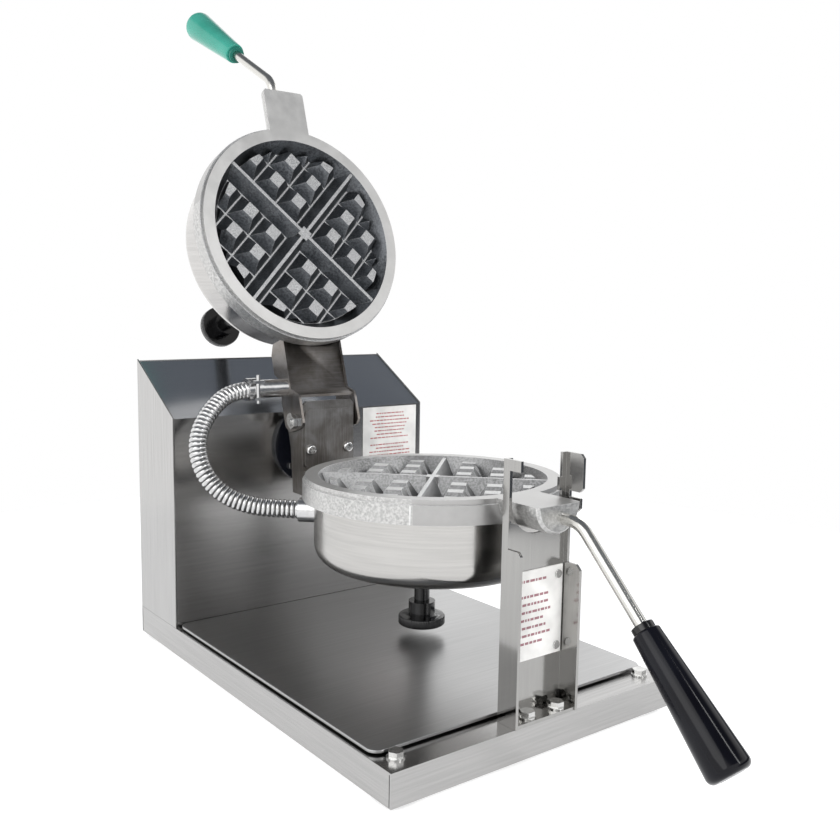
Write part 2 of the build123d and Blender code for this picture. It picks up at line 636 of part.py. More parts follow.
def make_ridges():
    """Two ridges that cross at the middle, at 45 degrees to the turning axis."""
    half = RIDGE_HALF_BASE - STUD_VALLEY / 2
    crest_z = CAVITY_DEPTH - RIDGE_DROP
    length = 2 * (CAVITY_RADIUS + 2)
    points = [(-half, -1), (half, -1), (half, 0), (RIDGE_CREST / 2, crest_z), (-RIDGE_CREST / 2, crest_z),
              (-half, 0)]
    profile = make_face(Polyline(*points, close=True))
    ridge = extrude(Plane.XZ.offset(-length / 2) * profile, length)
    square = Pos(0, 0, -1) * Box(CROSS_SQUARE, CROSS_SQUARE, crest_z + 1,
                                 align=(Align.CENTER, Align.CENTER, Align.MIN))
    place = Pos(0, RIM_CENTRE_Y, cavity_z)
    return place * (Rot(0, 0, 45) * ridge + Rot(0, 0, -45) * ridge + Rot(0, 0, 45) * square)


def make_stud():
    """One truncated pyramid, rooted just below the cavity's floor."""
    base = STUD_PITCH - STUD_VALLEY
    root = Rectangle(base, base)
    top = Pos(0, 0, STUD_HEIGHT) * Rectangle(STUD_TOP, STUD_TOP)
    footing = Pos(0, 0, -1) * Box(base, base, 1, align=(Align.CENTER, Align.CENTER, Align.MIN))
    return loft([root.faces()[0], top.faces()[0]]) + footing


def make_studs():
    """All studs, those at the edge cut upright just inside the foot of the cavity's wall."""
    stud = make_stud()
    field = bar((0, RIM_CENTRE_Y, cavity_z - 1), (0, RIM_CENTRE_Y, rim_z), CAVITY_FLOOR_RADIUS - STUD_WALL_GAP)
    first = RIDGE_HALF_BASE + STUD_PITCH / 2
    studs = []
    for quadrant in range(4):
        for i in range(STUD_ROWS):
            for j in range(STUD_ROWS):
                u = first + i * STUD_PITCH
                v = first + j * STUD_PITCH
                if sqrt(u ** 2 + v ** 2) - STUD_PITCH / sqrt(2) > CAVITY_FLOOR_RADIUS - 4:
                    continue
                place = Pos(0, RIM_CENTRE_Y, cavity_z) * Rot(0, 0, 45 + 90 * quadrant) * Pos(u, v, 0)
                studs.append((place * stud) & field)
    return studs


def make_lug():
    """Half-round lug at the front, flat on the parting plane."""
    start = RIM_CENTRE_Y - SHELL_RADIUS - 0.3
    rounded = bar((0, start, AXIS_Z), (0, lug_end_y, AXIS_Z), LUG_RADIUS)
    rounded = chamfer(rounded.edges().sort_by(Axis.Y)[0], LUG_CHAMFER)
    keep = block(-50, 50, lug_end_y - 5, start + 5, AXIS_Z - 50, rim_z)
    socket = bar((HANDLE_X, lug_end_y + ROD_SOCKET, rod_z), (HANDLE_X, lug_end_y - 5, rod_z), ROD_RADIUS)
    return (rounded & keep) - socket


def boss_places():
    return [(BOSS_CIRCLE * cos(radians(a)), RIM_CENTRE_Y + BOSS_CIRCLE * sin(radians(a)))
            for a in (150, 270, 5)]


def make_grid():
    """The lower casting: rim, cavity, ridges, studs, lug and the bosses under it."""
    lip_z = rim_z - RIM_LIP
    rim = Pos(0, RIM_CENTRE_Y, 0) * Cylinder(RIM_RADIUS, RIM_LIP, align=(Align.CENTER, Align.CENTER, Align.MIN))
    rim = rim.translate((0, 0, lip_z))
    band = bar((0, RIM_CENTRE_Y, band_z), (0, RIM_CENTRE_Y, lip_z), BAND_RADIUS)
    floor = bar((0, RIM_CENTRE_Y, casting_z), (0, RIM_CENTRE_Y, band_z), SHELL_RADIUS - SHELL_SHEET - 1.5)
    body = rim + band + floor - cavity_cone()
    waffle = make_ridges()
    for stud in make_studs():
        waffle = waffle + stud
    body = body + (waffle & (cavity_cone(0.6) + bar(
        (0, RIM_CENTRE_Y, cavity_z - 1), (0, RIM_CENTRE_Y, cavity_z), CAVITY_FLOOR_RADIUS)))
    body = body + make_lug()
    for x, y in boss_places():
        boss = bar((x, y, shell_z + SHELL_SHEET), (x, y, cavity_z - 2), BOSS_RADIUS)
        body = body + (boss - bar((x, y, shell_z - 1), (x, y, shell_z + 16), 2.5))
    pocket = block(-TONGUE_HALF - 0.3, TONGUE_HALF + 0.3, TONGUE_START_Y - 0.3, FLANGE_START_Y + 20,
                   casting_z - 1, web_z)
    body = body - pocket
    for x in (-TONGUE_SCREW_X, TONGUE_SCREW_X):
        body = body - bar((x, TONGUE_SCREW_Y, web_z - 1), (x, TONGUE_SCREW_Y, web_z + TONGUE_SCREW_GRIP), 2.5)
    return body


def make_shell():
    """Spun bowl under the casting, open at the top."""
    height = band_z - shell_z
    outer = bar((0, RIM_CENTRE_Y, shell_z), (0, RIM_CENTRE_Y, band_z), SHELL_RADIUS)
    outer = fillet(outer.edges().sort_by(Axis.Z)[0], SHELL_FILLET)
    inner = bar((0, RIM_CENTRE_Y, shell_z + SHELL_SHEET), (0, RIM_CENTRE_Y, band_z + 5),
                SHELL_RADIUS - SHELL_SHEET)
    inner = fillet(inner.edges().sort_by(Axis.Z)[0], SHELL_FILLET - SHELL_SHEET)
    shell = outer - inner
    notch_z = web_z - BRACKET_SHEET - 0.2
    shell = shell - block(-LOWER_HALF_WIDTH - 0.5, LOWER_HALF_WIDTH + 0.5, 0, 60, notch_z, band_z + 5)
    for x, y in boss_places():
        shell = shell - bar((x, y, shell_z - 5), (x, y, shell_z + 5), 2.5)
    shell = shell - bar((KNOB_X, knob_y, shell_z - 5), (KNOB_X, knob_y, shell_z + 5), KNOB_SHAFT_RADIUS + 3)
    entry, inward = conduit_entry()
    return shell - bar(entry, entry + inward * 20, NIPPLE_RADIUS + 0.3)


def make_shell_screws():
    screws = []
    for x, y in boss_places():
        head = bar((x, y, shell_z - 2.2), (x, y, shell_z), 4.5)
        screws.append(head + bar((x, y, shell_z), (x, y, shell_z + 12), 2.5))
    return Compound(children=screws)


def make_element():
    """Tubular heater under the casting, bent to an open ring with two upright ends."""
    z = casting_z - ELEMENT_TUBE
    gap = 24
    ring = CenterArc((0, RIM_CENTRE_Y), ELEMENT_RADIUS, 90 + gap, 360 - 2 * gap)
    path = Pos(0, 0, z) * ring
    wire = Wire(path.edges())
    section = Plane(origin=wire @ 0, z_dir=wire % 0) * Circle(ELEMENT_TUBE)
    heater = sweep(section, path=wire)
    for point in (wire @ 0, wire @ 1):
        heater = heater + Pos(*point) * Sphere(ELEMENT_TUBE)
        heater = heater + bar((point.X, point.Y, z - 10), (point.X, point.Y, z), ELEMENT_TUBE)
    return heater


def make_thermostat():
    wide, deep, tall = THERMOSTAT
    base = shell_z + SHELL_SHEET
    body = block(KNOB_X - wide / 2, KNOB_X + wide / 2, knob_y - deep / 2, knob_y + deep / 2, base, base + tall)
    return body - bar((KNOB_X, knob_y, base - 1), (KNOB_X, knob_y, base + 17), KNOB_SHAFT_RADIUS + RUNNING)


# ---- Knob -------------------------------------------------------------------------------
def make_knob():
    """Black hand knob with a knurled disc and a long neck."""
    low = knob_z - KNOB_THICK / 2
    disc = bar((KNOB_X, knob_y, low), (KNOB_X, knob_y, low + KNOB_THICK), KNOB_RADIUS)
    disc = chamfer(disc.edges().filter_by(GeomType.CIRCLE), 0.8)
    flute = bar((0, 0, low - 1), (0, 0, low + KNOB_THICK + 1), KNURL_RADIUS)
    pitch_radius = KNOB_RADIUS + KNURL_RADIUS / 3
    for i in range(KNURLS):
        angle = radians(360 * i / KNURLS)
        disc = disc - Pos(KNOB_X + pitch_radius * cos(angle), knob_y + pitch_radius * sin(angle), 0) * flute
    collar_top = low + KNOB_THICK + KNOB_COLLAR
    collar = bar((KNOB_X, knob_y, low + KNOB_THICK), (KNOB_X, knob_y, collar_top), KNOB_COLLAR_RADIUS)
    neck = bar((KNOB_X, knob_y, collar_top), (KNOB_X, knob_y, shell_z - KNOB_SHELL_GAP), KNOB_NECK_RADIUS)
    bore = bar((KNOB_X, knob_y, collar_top), (KNOB_X, knob_y, shell_z), KNOB_SHAFT_RADIUS)
    return disc + collar + neck - bore


def make_knob_shaft():
    bottom = knob_z + KNOB_THICK / 2 + KNOB_COLLAR
    return bar((KNOB_X, knob_y, bottom), (KNOB_X, knob_y, shell_z + SHELL_SHEET + 15), KNOB_SHAFT_RADIUS)


# ---- Handles ------------------------------------------------------------------------------
def make_rod():
    start = Vector(HANDLE_X, lug_end_y + ROD_SOCKET, rod_z)
    corner = Vector(HANDLE_X, rod_corner_y, rod_z)
    end = grip_start + slope_dir * GRIP_SOCKET
    path = FilletPolyline(start, corner, end, radius=ROD_BEND)
    return sweep(Plane(origin=start, z_dir=corner - start) * Circle(ROD_RADIUS), path=path)


def make_grip():
    """Tapered grip with a domed end, bored for the rod."""
    plane = Plane(origin=grip_start, z_dir=slope_dir)
    body = Cone(GRIP_RADIUS_NEAR, GRIP_RADIUS_FAR, GRIP_LENGTH,
                align=(Align.CENTER, Align.CENTER, Align.MIN))
    body = fillet(body.edges().sort_by(Axis.Z)[-1], GRIP_DOME)
    body = fillet(body.edges().sort_by(Axis.Z)[0], 1.5)
    bore = Cylinder(ROD_RADIUS, 2 * GRIP_SOCKET)
    return plane * (body - bore)


def make_ferrule():
    plane = Plane(origin=grip_start - slope_dir * FERRULE_LENGTH, z_dir=slope_dir)
    ring = Cylinder(GRIP_RADIUS_NEAR - 2, FERRULE_LENGTH, align=(Align.CENTER, Align.CENTER, Align.MIN))
    return plane * (ring - Cylinder(ROD_RADIUS, 4 * FERRULE_LENGTH))


# ---- Brackets -----------------------------------------------------------------------------
def make_lower_bracket():
    """Tongue, web, upright wall and side flanges of the lower half's bracket."""
    x = LOWER_HALF_WIDTH
    inner = x - BRACKET_SHEET
    tongue = block(-TONGUE_HALF, TONGUE_HALF, TONGUE_START_Y, FLANGE_START_Y, web_z - BRACKET_SHEET, web_z)
    web = block(-x, x, FLANGE_START_Y - 4, WALL_Y + 1, web_z - BRACKET_SHEET, web_z)
    wall = prism([(-x, wall_bottom), (x, wall_bottom), (x, wall_top - WALL_CORNER), (x - WALL_CORNER, wall_top),
                  (-x + WALL_CORNER, wall_top), (-x, wall_top - WALL_CORNER)], "y", WALL_Y, hub_y)
    flange = [(FLANGE_START_Y, web_z), (FLANGE_START_Y, web_z - 12), (WALL_Y - 20, wall_bottom),
              (WALL_Y, wall_bottom), (WALL_Y, web_z)]
    ear = [(WALL_Y, wall_bottom), (WALL_Y + 18, wall_bottom), (LOWER_FLANGE_REAR - 6, AXIS_Z),
           (LOWER_FLANGE_REAR, hinge_z - 8), (LOWER_FLANGE_REAR, hinge_z + 6),
           (LOWER_FLANGE_REAR - 8, hinge_z + 13), (WALL_Y + 6, wall_top - WALL_CORNER),
           (WALL_Y, wall_top - WALL_CORNER)]
    body = tongue + web + wall
    for low, high in ((-x, -inner), (inner, x)):
        body = body + prism(flange, "x", low, high) + prism(ear, "x", low, high)
    body = body - bar((-x - 5, HINGE_Y, hinge_z), (x + 5, HINGE_Y, hinge_z), PIN_RADIUS + RUNNING)
    body = body - bar((0, WALL_Y - 3, AXIS_Z), (0, hub_y + 3, AXIS_Z), TUBE_BORE)
    for sx in (-1, 1):
        x = sx * PLATE_SCREW_X
        body = body - bar((x, WALL_Y - 3, AXIS_Z), (x, hub_y + 3, AXIS_Z), 2.5)
        x = sx * TONGUE_SCREW_X
        body = body - bar((x, TONGUE_SCREW_Y, web_z - 9), (x, TONGUE_SCREW_Y, web_z + 1), 2.5)
    return body


def make_pivot_plate():
    """Cover plate held on the bracket's wall by the two pivot screws."""
    height = plate_top - plate_bottom
    outline = Pos(0, (plate_top + plate_bottom) / 2) * RectangleRounded(
        2 * PLATE_HALF_WIDTH, height, PLATE_CORNER)
    plate = extrude(Plane.XZ.offset(-WALL_Y) * outline, PLATE_THICK)
    for sx in (-1, 1):
        x = sx * PLATE_SCREW_X
        plate = plate - bar((x, WALL_Y - 9, AXIS_Z), (x, WALL_Y + 9, AXIS_Z), 2.5)
    return plate


def make_pivot_screws():
    seat = WALL_Y - PLATE_THICK
    screws = []
    for sx in (-1, 1):
        x = sx * PLATE_SCREW_X
        head = bar((x, seat - 3, AXIS_Z), (x, seat, AXIS_Z), 5)
        head = fillet(head.edges().sort_by(Axis.Y)[0], 1.8)
        cross = block(x - 2.6, x + 2.6, seat - 4, seat - 1.6, AXIS_Z - 0.6, AXIS_Z + 0.6)
        cross = cross + block(x - 0.6, x + 0.6, seat - 4, seat - 1.6, AXIS_Z - 2.6, AXIS_Z + 2.6)
        shank = bar((x, seat, AXIS_Z), (x, hub_y + HUB_THICK, AXIS_Z), 2.5)
        screws.append(head - cross + shank)
    return Compound(children=screws)


def make_tongue_screws():
    screws = []
    for x in (-TONGUE_SCREW_X, TONGUE_SCREW_X):
        under = web_z - BRACKET_SHEET
        head = hex_bar((x, TONGUE_SCREW_Y, under), (x, TONGUE_SCREW_Y, under - 3.5), 8)
        tip = web_z + TONGUE_SCREW_GRIP
        screws.append(head + bar((x, TONGUE_SCREW_Y, under), (x, TONGUE_SCREW_Y, tip), 2.5))
    return Compound(children=screws)


def make_lid_bracket():
    """The lid's channel, drawn shut: web, slanting end and two side flanges with ears."""
    web_low = AXIS_Z + BRACKET_DROP
    web_high = web_low + BRACKET_SHEET
    end_low = AXIS_Z + LID_WEB_END_RISE
    tongue = block(-TONGUE_HALF, TONGUE_HALF, TONGUE_START_Y, FLANGE_START_Y, web_low, web_high)
    web_start = FLANGE_START_Y - 4
    web = [(web_start, web_low), (LID_WEB_BEND_Y, web_low), (LID_WEB_END_Y, end_low),
           (LID_WEB_END_Y + 2.2, end_low + 1.2), (LID_WEB_BEND_Y + 1.4, web_high), (web_start, web_high)]
    ear_low = AXIS_Z + 7
    ear_top = AXIS_Z + EAR_RISE
    flange_top = AXIS_Z + FLANGE_RISE
    flange = [(FLANGE_START_Y, web_low - 0.8), (LID_WEB_BEND_Y, web_low - 0.8),
              (LID_WEB_END_Y - 1, ear_low + 1), (LID_WEB_END_Y + 5, ear_low), (EAR_REAR_Y - 4, ear_low),
              (EAR_REAR_Y, ear_low + 5), (EAR_REAR_Y, ear_top - 6), (EAR_REAR_Y - 7, ear_top),
              (WAIST_Y + 26, ear_top), (WAIST_Y + 4, AXIS_Z + WAIST_RISE), (WAIST_Y - 3, flange_top),
              (FLANGE_START_Y + 10, flange_top), (FLANGE_START_Y, flange_top - 6)]
    body = tongue + prism(web, "x", -lid_outer_x, lid_outer_x)
    for low, high in ((-lid_outer_x, -lid_inner_x), (lid_inner_x, lid_outer_x)):
        body = body + prism(flange, "x", low, high)
    body = body - bar((-60, HINGE_Y, hinge_z), (60, HINGE_Y, hinge_z), PIN_RADIUS)
    for x in (-TONGUE_SCREW_X, TONGUE_SCREW_X):
        body = body - bar((x, TONGUE_SCREW_Y, web_low - 1), (x, TONGUE_SCREW_Y, web_low + 9), 2.5)
    return body


def make_hinge_pin():
    shank = bar((-lid_outer_x, HINGE_Y, hinge_z), (lid_outer_x, HINGE_Y, hinge_z), PIN_RADIUS)
    for sx in (-1, 1):
        shank = shank + bar((sx * lid_outer_x, HINGE_Y, hinge_z),
                            (sx * (lid_outer_x + PIN_HEAD), HINGE_Y, hinge_z), PIN_HEAD_RADIUS)
    return shank


def make_earth_stud():
    """Stud with two thin nuts on the open lid's left ear."""
    x = -lid_outer_x
    y, z = STUD_BACK_Y, hinge_z
    first = hex_bar((x, y, z), (x - 4.2, y, z), 12)
    second = hex_bar((x - 4.6, y, z), (x - 8.8, y, z), 12)
    return first + second + bar((x, y, z), (x - 10.5, y, z), 3.5)


# ---- Conduit --------------------------------------------------------------------------------
def conduit_entry():
    """Where the conduit's lower end meets the shell, and its direction into the shell."""
    first, second = Vector(*CONDUIT_ROUTE[0]), Vector(*CONDUIT_ROUTE[1])
    inward = (first - second).normalized()
    return first, inward


def make_conduit():
    points = [Vector(*p) for p in CONDUIT_ROUTE]
    radii = []
    for before, corner, after in zip(points, points[1:], points[2:]):
        turn = (corner - before).get_angle(after - corner)
        radii.append(0.45 * min((corner - before).length, (after - corner).length) / tan(radians(turn / 2)))
    print("conduit radii", [round(r, 1) for r in radii])
    path = FilletPolyline(*points, radius=radii)
    tube = sweep(Plane(origin=points[0], z_dir=points[1] - points[0]) * Circle(CONDUIT_RADIUS), path=path)
    wire = Wire(path.edges())
    section_area = Circle(CONDUIT_RADIUS).area
    ratio = tube.volume / section_area / wire.length
    print("conduit length", round(wire.length, 1), "volume ratio", round(ratio, 4))
    return tube


def make_lower_connector():
    """Collar that holds the conduit's lower end on the shell."""
    entry, inward = conduit_entry()
    outside = entry - inward * CONDUIT_PLUG
    collar = bar(outside, entry + inward * CONNECTOR_SHOULDER, CONNECTOR_RADIUS)
    nipple = bar(entry, entry + inward * CONNECTOR_NIPPLE, NIPPLE_RADIUS)
    grip = bar(outside - inward, entry, CONDUIT_RADIUS)
    way_through = bar(entry - inward, entry + inward * 20, NIPPLE_RADIUS - 2)
    return collar + nipple - grip - way_through


def make_upper_connector():
    """Clamp connector on the open lid's left flange, with its two ears and screw."""
    end = Vector(*CONDUIT_ROUTE[-1])
    wall = Vector(-lid_outer_x, end.Y, end.Z)
    body = bar(end - Vector(CONDUIT_PLUG, 0, 0), end, CONNECTOR_RADIUS)
    body = body + bar(end, wall, CONNECTOR_RADIUS - 2)
    hollow = bar(end - Vector(CONDUIT_PLUG + 1, 0, 0), end, CONDUIT_RADIUS)
    hollow = hollow + bar(end - Vector(1, 0, 0), wall + Vector(1, 0, 0), CONDUIT_RADIUS - 3)
    screw_x = end.X - CONDUIT_PLUG / 2
    front = end.Y - CONNECTOR_RADIUS
    ears = block(screw_x - 5, screw_x + 5, front - 5, front + 4, end.Z - 9, end.Z - 6.5)
    ears = ears + block(screw_x - 5, screw_x + 5, front - 5, front + 4, end.Z + 6.5, end.Z + 9)
    screw = bar((screw_x, front - 1, end.Z - 12), (screw_x, front - 1, end.Z + 14), 1.8)
    return body - hollow + ears + screw


# ---- All nodes --------------------------------------------------------------------------------
def closed_lid_parts():
    """The shut lid's nodes that copy the lower half."""
    return {
        "upper_grid": flipped(make_grid()),
        "upper_shell": flipped(make_upper_shell()),
        "upper_shell_screws": flipped(make_shell_screws()),
        "upper_element": flipped(make_element()),
        "upper_thermostat": flipped(make_thermostat()),
        "upper_bracket_screws": flipped(make_tongue_screws()),
        "upper_handle_rod": flipped(make_rod()),
        "upper_ferrule": flipped(make_ferrule()),
        "upper_grip": flipped(make_grip()),
        "upper_knob": flipped(make_knob()),
        "upper_knob_shaft": flipped(make_knob_shaft()),
        "upper_bracket": make_lid_bracket(),
    }


def make_upper_shell():
    """As the lower shell, without the conduit's entry."""
    shell = make_shell()
    entry, inward = conduit_entry()
    patch = bar(entry, entry + inward * 20, CONNECTOR_RADIUS)
    ring = bar((0, RIM_CENTRE_Y, shell_z + 20), (0, RIM_CENTRE_Y, band_z), SHELL_RADIUS)
    ring = ring - bar((0, RIM_CENTRE_Y, shell_z), (0, RIM_CENTRE_Y, band_z + 5), SHELL_RADIUS - SHELL_SHEET)
    return shell + (ring & patch)


def make_nodes():
    nodes = {
        "base_pan": make_base_pan(),
        "rubber_feet": make_feet(),
        "foot_bolts": make_foot_bolts(),
        "drip_tray": make_drip_tray(),
        "tray_pads": make_tray_pads(),
        "housing_front": make_housing_front(),
        "housing_left": make_housing_side(-1),
        "housing_right": make_housing_side(1),
        "housing_back": make_housing_back(),
        "back_screws": make_back_screws(),
        "housing_label": make_housing_label(),
        "power_inlet": make_power_inlet(),
        "rocker_bezel": make_rocker_bezel(),
        "power_rocker": make_rocker(),
        "pilot_lamp": make_pilot_lamp(),
        "terminal_block": make_terminal_block(),
        "pivot_bearing": make_pivot_bearing(),
        "bearing_screws": make_bearing_screws(),
        "pivot_bushings": make_bushings(),
        "front_stand": make_front_stand(),
        "stand_bolts": make_stand_bolts(),
        "stand_label": make_stand_label(),
        "label_rivets": make_label_rivets(),
        "pivot_tube": make_pivot_tube(),
        "retaining_collar": make_retaining_collar(),
        "collar_screw": make_collar_screw(),
        "lower_grid": make_grid(),
        "lower_shell": make_shell(),
        "lower_shell_screws": make_shell_screws(),
        "lower_element": make_element(),
        "lower_thermostat": make_thermostat(),
        "lower_bracket": make_lower_bracket(),
        "lower_bracket_screws": make_tongue_screws(),
        "pivot_plate": make_pivot_plate(),
        "pivot_screws": make_pivot_screws(),
        "lower_handle_rod": make_rod(),
        "lower_ferrule": make_ferrule(),
        "lower_grip": make_grip(),
        "lower_knob": make_knob(),
        "lower_knob_shaft": make_knob_shaft(),
        "hinge_pin": make_hinge_pin(),
        "earth_stud": make_earth_stud(),
        "lower_connector": make_lower_connector(),
        "upper_connector": make_upper_connector(),
        "flex_conduit": make_conduit(),
    }
    for name, shape in closed_lid_parts().items():
        nodes[name] = opened(shape)
    return nodes


def main():
    os.makedirs("parts", exist_ok=True)
    for name, shape in make_nodes().items():
        solids = [Pos(0, ORIGIN_TO_BASE, 0) * solid for solid in shape.solids()]
        export_step(solids[0] if len(solids) == 1 else Compound(children=solids), f"parts/{name}.step")
        print(name, len(shape.solids()), "solids", round(shape.volume), "mm3")


main()
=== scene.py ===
import bpy
import bmesh
import json
import random
from math import atan2, cos, degrees, pi, radians, sin
from mathutils import Matrix, Vector


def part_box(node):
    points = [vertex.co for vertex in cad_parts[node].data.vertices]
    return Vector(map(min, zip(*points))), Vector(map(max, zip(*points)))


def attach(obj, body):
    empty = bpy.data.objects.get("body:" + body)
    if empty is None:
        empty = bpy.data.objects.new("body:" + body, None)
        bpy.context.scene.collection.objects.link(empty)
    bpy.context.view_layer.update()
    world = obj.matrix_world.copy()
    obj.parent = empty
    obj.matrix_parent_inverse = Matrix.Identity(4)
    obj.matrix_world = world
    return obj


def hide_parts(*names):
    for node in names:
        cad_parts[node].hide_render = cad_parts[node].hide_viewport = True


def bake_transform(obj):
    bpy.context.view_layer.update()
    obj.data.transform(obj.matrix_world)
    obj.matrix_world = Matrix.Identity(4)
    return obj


# Flip-over round waffle maker.  Metres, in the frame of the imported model.  Sizes below are in
# millimetres, times MM.
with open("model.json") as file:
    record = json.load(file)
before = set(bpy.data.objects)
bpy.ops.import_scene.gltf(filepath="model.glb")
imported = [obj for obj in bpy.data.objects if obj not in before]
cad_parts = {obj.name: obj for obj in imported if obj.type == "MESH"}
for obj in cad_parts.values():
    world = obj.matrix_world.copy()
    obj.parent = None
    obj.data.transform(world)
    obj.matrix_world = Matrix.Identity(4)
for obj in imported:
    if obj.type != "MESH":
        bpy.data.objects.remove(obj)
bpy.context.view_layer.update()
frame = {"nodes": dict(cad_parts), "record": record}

MM = 0.001
OPEN_ANGLE = radians(107.5)      # the lid stands folded back by this much
AXIS_Z = 190 * MM                # height of the head's turning axis

# The base's middle, from which the camera and the conduit are placed.
pan_low, pan_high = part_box("base_pan")
home = Vector(((pan_low.x + pan_high.x) / 2, (pan_low.y + pan_high.y) / 2, 0))

owner = {node: body for body, nodes in frame["record"]["behaviour"]["bodies"].items() for node in nodes}


# ---- Camera ---------------------------------------------------------------------------------
CAMERA_FROM_HOME = Vector((-489.65, -688.97, 333.34)) * MM
CAMERA_YAW = radians(-37.59)
CAMERA_PITCH = radians(-7.16)
CAMERA_ROLL = radians(0.89)
CAMERA_LENS = 41.54


def make_camera():
    forward = Vector((-sin(CAMERA_YAW) * cos(CAMERA_PITCH), cos(CAMERA_YAW) * cos(CAMERA_PITCH),
                      sin(CAMERA_PITCH)))
    level = Vector((cos(CAMERA_YAW), sin(CAMERA_YAW), 0))
    upright = level.cross(forward)
    right = level * cos(CAMERA_ROLL) + upright * sin(CAMERA_ROLL)
    up = upright * cos(CAMERA_ROLL) - level * sin(CAMERA_ROLL)
    lens = bpy.data.cameras.new("camera")
    lens.lens = CAMERA_LENS
    lens.clip_start = 0.02
    camera = bpy.data.objects.new("camera", lens)
    camera.matrix_world = Matrix.Translation(home + CAMERA_FROM_HOME) @ Matrix(
        (right, up, -forward)).transposed().to_4x4()
    bpy.context.scene.collection.objects.link(camera)
    bpy.context.scene.camera = camera


# ---- Shader helpers -------------------------------------------------------------------------
class Paint:
    """A material with its shader and short ways to add the nodes of a pattern."""

    def __init__(self, name, colour, metallic, roughness):
        self.material = bpy.data.materials.new(name)
        self.material.use_nodes = True
        self.tree = self.material.node_tree
        self.shader = self.tree.nodes["Principled BSDF"]
        self.shader.inputs["Base Color"].default_value = (*colour, 1)
        self.shader.inputs["Metallic"].default_value = metallic
        self.shader.inputs["Roughness"].default_value = roughness
        self.place = self.tree.nodes.new("ShaderNodeTexCoord").outputs["Object"]

    def noise(self, stretch, detail, rough, turn=(0, 0, 0), distortion=0.0):
        """Noise with this many waves per metre along X, Y and Z, or in every direction."""
        if not isinstance(stretch, tuple):
            stretch = (stretch, stretch, stretch)
        mapping = self.tree.nodes.new("ShaderNodeMapping")
        mapping.inputs["Rotation"].default_value = turn
        mapping.inputs["Scale"].default_value = stretch
        self.tree.links.new(self.place, mapping.inputs["Vector"])
        texture = self.tree.nodes.new("ShaderNodeTexNoise")
        texture.inputs["Scale"].default_value = 1.0
        texture.inputs["Detail"].default_value = detail
        texture.inputs["Roughness"].default_value = rough
        texture.inputs["Distortion"].default_value = distortion
        self.tree.links.new(mapping.outputs["Vector"], texture.inputs["Vector"])
        return texture.outputs["Fac"]

    def spread(self, value, low, high, start=0.25, end=0.75):
        """A value eased from start..end to low..high."""
        node = self.tree.nodes.new("ShaderNodeMapRange")
        node.interpolation_type = "SMOOTHSTEP"
        node.inputs["From Min"].default_value = start
        node.inputs["From Max"].default_value = end
        node.inputs["To Min"].default_value = low
        node.inputs["To Max"].default_value = high
        self.tree.links.new(value, node.inputs["Value"])
        return node.outputs["Result"]

    def blend(self, amount, first, second):
        """A colour between two, each a colour or another blend's output."""
        node = self.tree.nodes.new("ShaderNodeMix")
        node.data_type = "RGBA"
        self.tree.links.new(amount, node.inputs["Factor"])
        for index, value in ((6, first), (7, second)):
            if isinstance(value, bpy.types.NodeSocket):
                self.tree.links.new(value, node.inputs[index])
            else:
                node.inputs[index].default_value = (*value, 1)
        return node.outputs[2]

    def colour(self, value):
        self.tree.links.new(value, self.shader.inputs["Base Color"])

    def roughness(self, value):
        self.tree.links.new(value, self.shader.inputs["Roughness"])

    def bump(self, height, strength, distance):
        node = self.tree.nodes.new("ShaderNodeBump")
        node.inputs["Strength"].default_value = strength
        node.inputs["Distance"].default_value = distance
        self.tree.links.new(height, node.inputs["Height"])
        previous = self.shader.inputs["Normal"].links
        if previous:
            self.tree.links.new(previous[0].from_socket, node.inputs["Normal"])
        self.tree.links.new(node.outputs["Normal"], self.shader.inputs["Normal"])


ALONG = 14.0          # waves per metre along a brushed grain
ACROSS = 620.0        # waves per metre across it


def grain_along(axis, along, across):
    """Waves per metre along X, Y and Z for a straight grain that runs along this axis."""
    return tuple(along if axis == name else across for name in "xyz")


def darker(colour, share):
    return tuple(c * share for c in colour)


def brushed(name, tint, grain, low, high, contrast=0.12, depth=0.04):
    """Rolled stainless sheet: fine straight grain, faint smears and cloudy shine."""
    paint = Paint(name, tint, 1.0, low)
    lines = paint.noise(grain_along(grain, ALONG, ACROSS), 3.0, 0.6)
    clouds = paint.noise(6, 1.0, 0.5)
    paint.colour(paint.blend(paint.spread(lines, 0, 1), darker(tint, 1 - contrast), tint))
    paint.roughness(paint.spread(clouds, low, high))
    paint.bump(lines, depth / 3, 0.1 * MM)
    return paint.material


def spun(name, tint, turn=(0, 0, 0)):
    """Spun and polished bowl: fine rings round its axis and long soft smears."""
    paint = Paint(name, tint, 1.0, 0.2)
    rings = paint.noise((14, 14, 520), 3.0, 0.6, turn)
    clouds = paint.noise((12, 12, 28), 3.0, 0.6, turn)
    paint.colour(paint.blend(paint.spread(rings, 0, 1), darker(tint, 0.88), tint))
    paint.roughness(paint.spread(clouds, 0.14, 0.26))
    paint.bump(rings, 0.012, 0.1 * MM)
    return paint.material


def cast(name, dark, light, low, high, grain, strength, metallic=1.0):
    """Sand-cast aluminium: sparkling grain over slow mottling."""
    paint = Paint(name, light, metallic, low)
    grit = paint.noise(grain, 3.0, 0.65)
    patches = paint.noise(45, 3.0, 0.6)
    speckle = paint.blend(paint.spread(grit, 0, 1, 0.35, 0.65), dark, light)
    worn = tuple((a + b) / 2 for a, b in zip(dark, light))
    paint.colour(paint.blend(paint.spread(patches, 0, 0.6), speckle, worn))
    paint.roughness(paint.spread(grit, low, high))
    paint.bump(grit, strength, 0.5 * MM)
    paint.bump(patches, strength / 3, 0.6 * MM)
    return paint.material


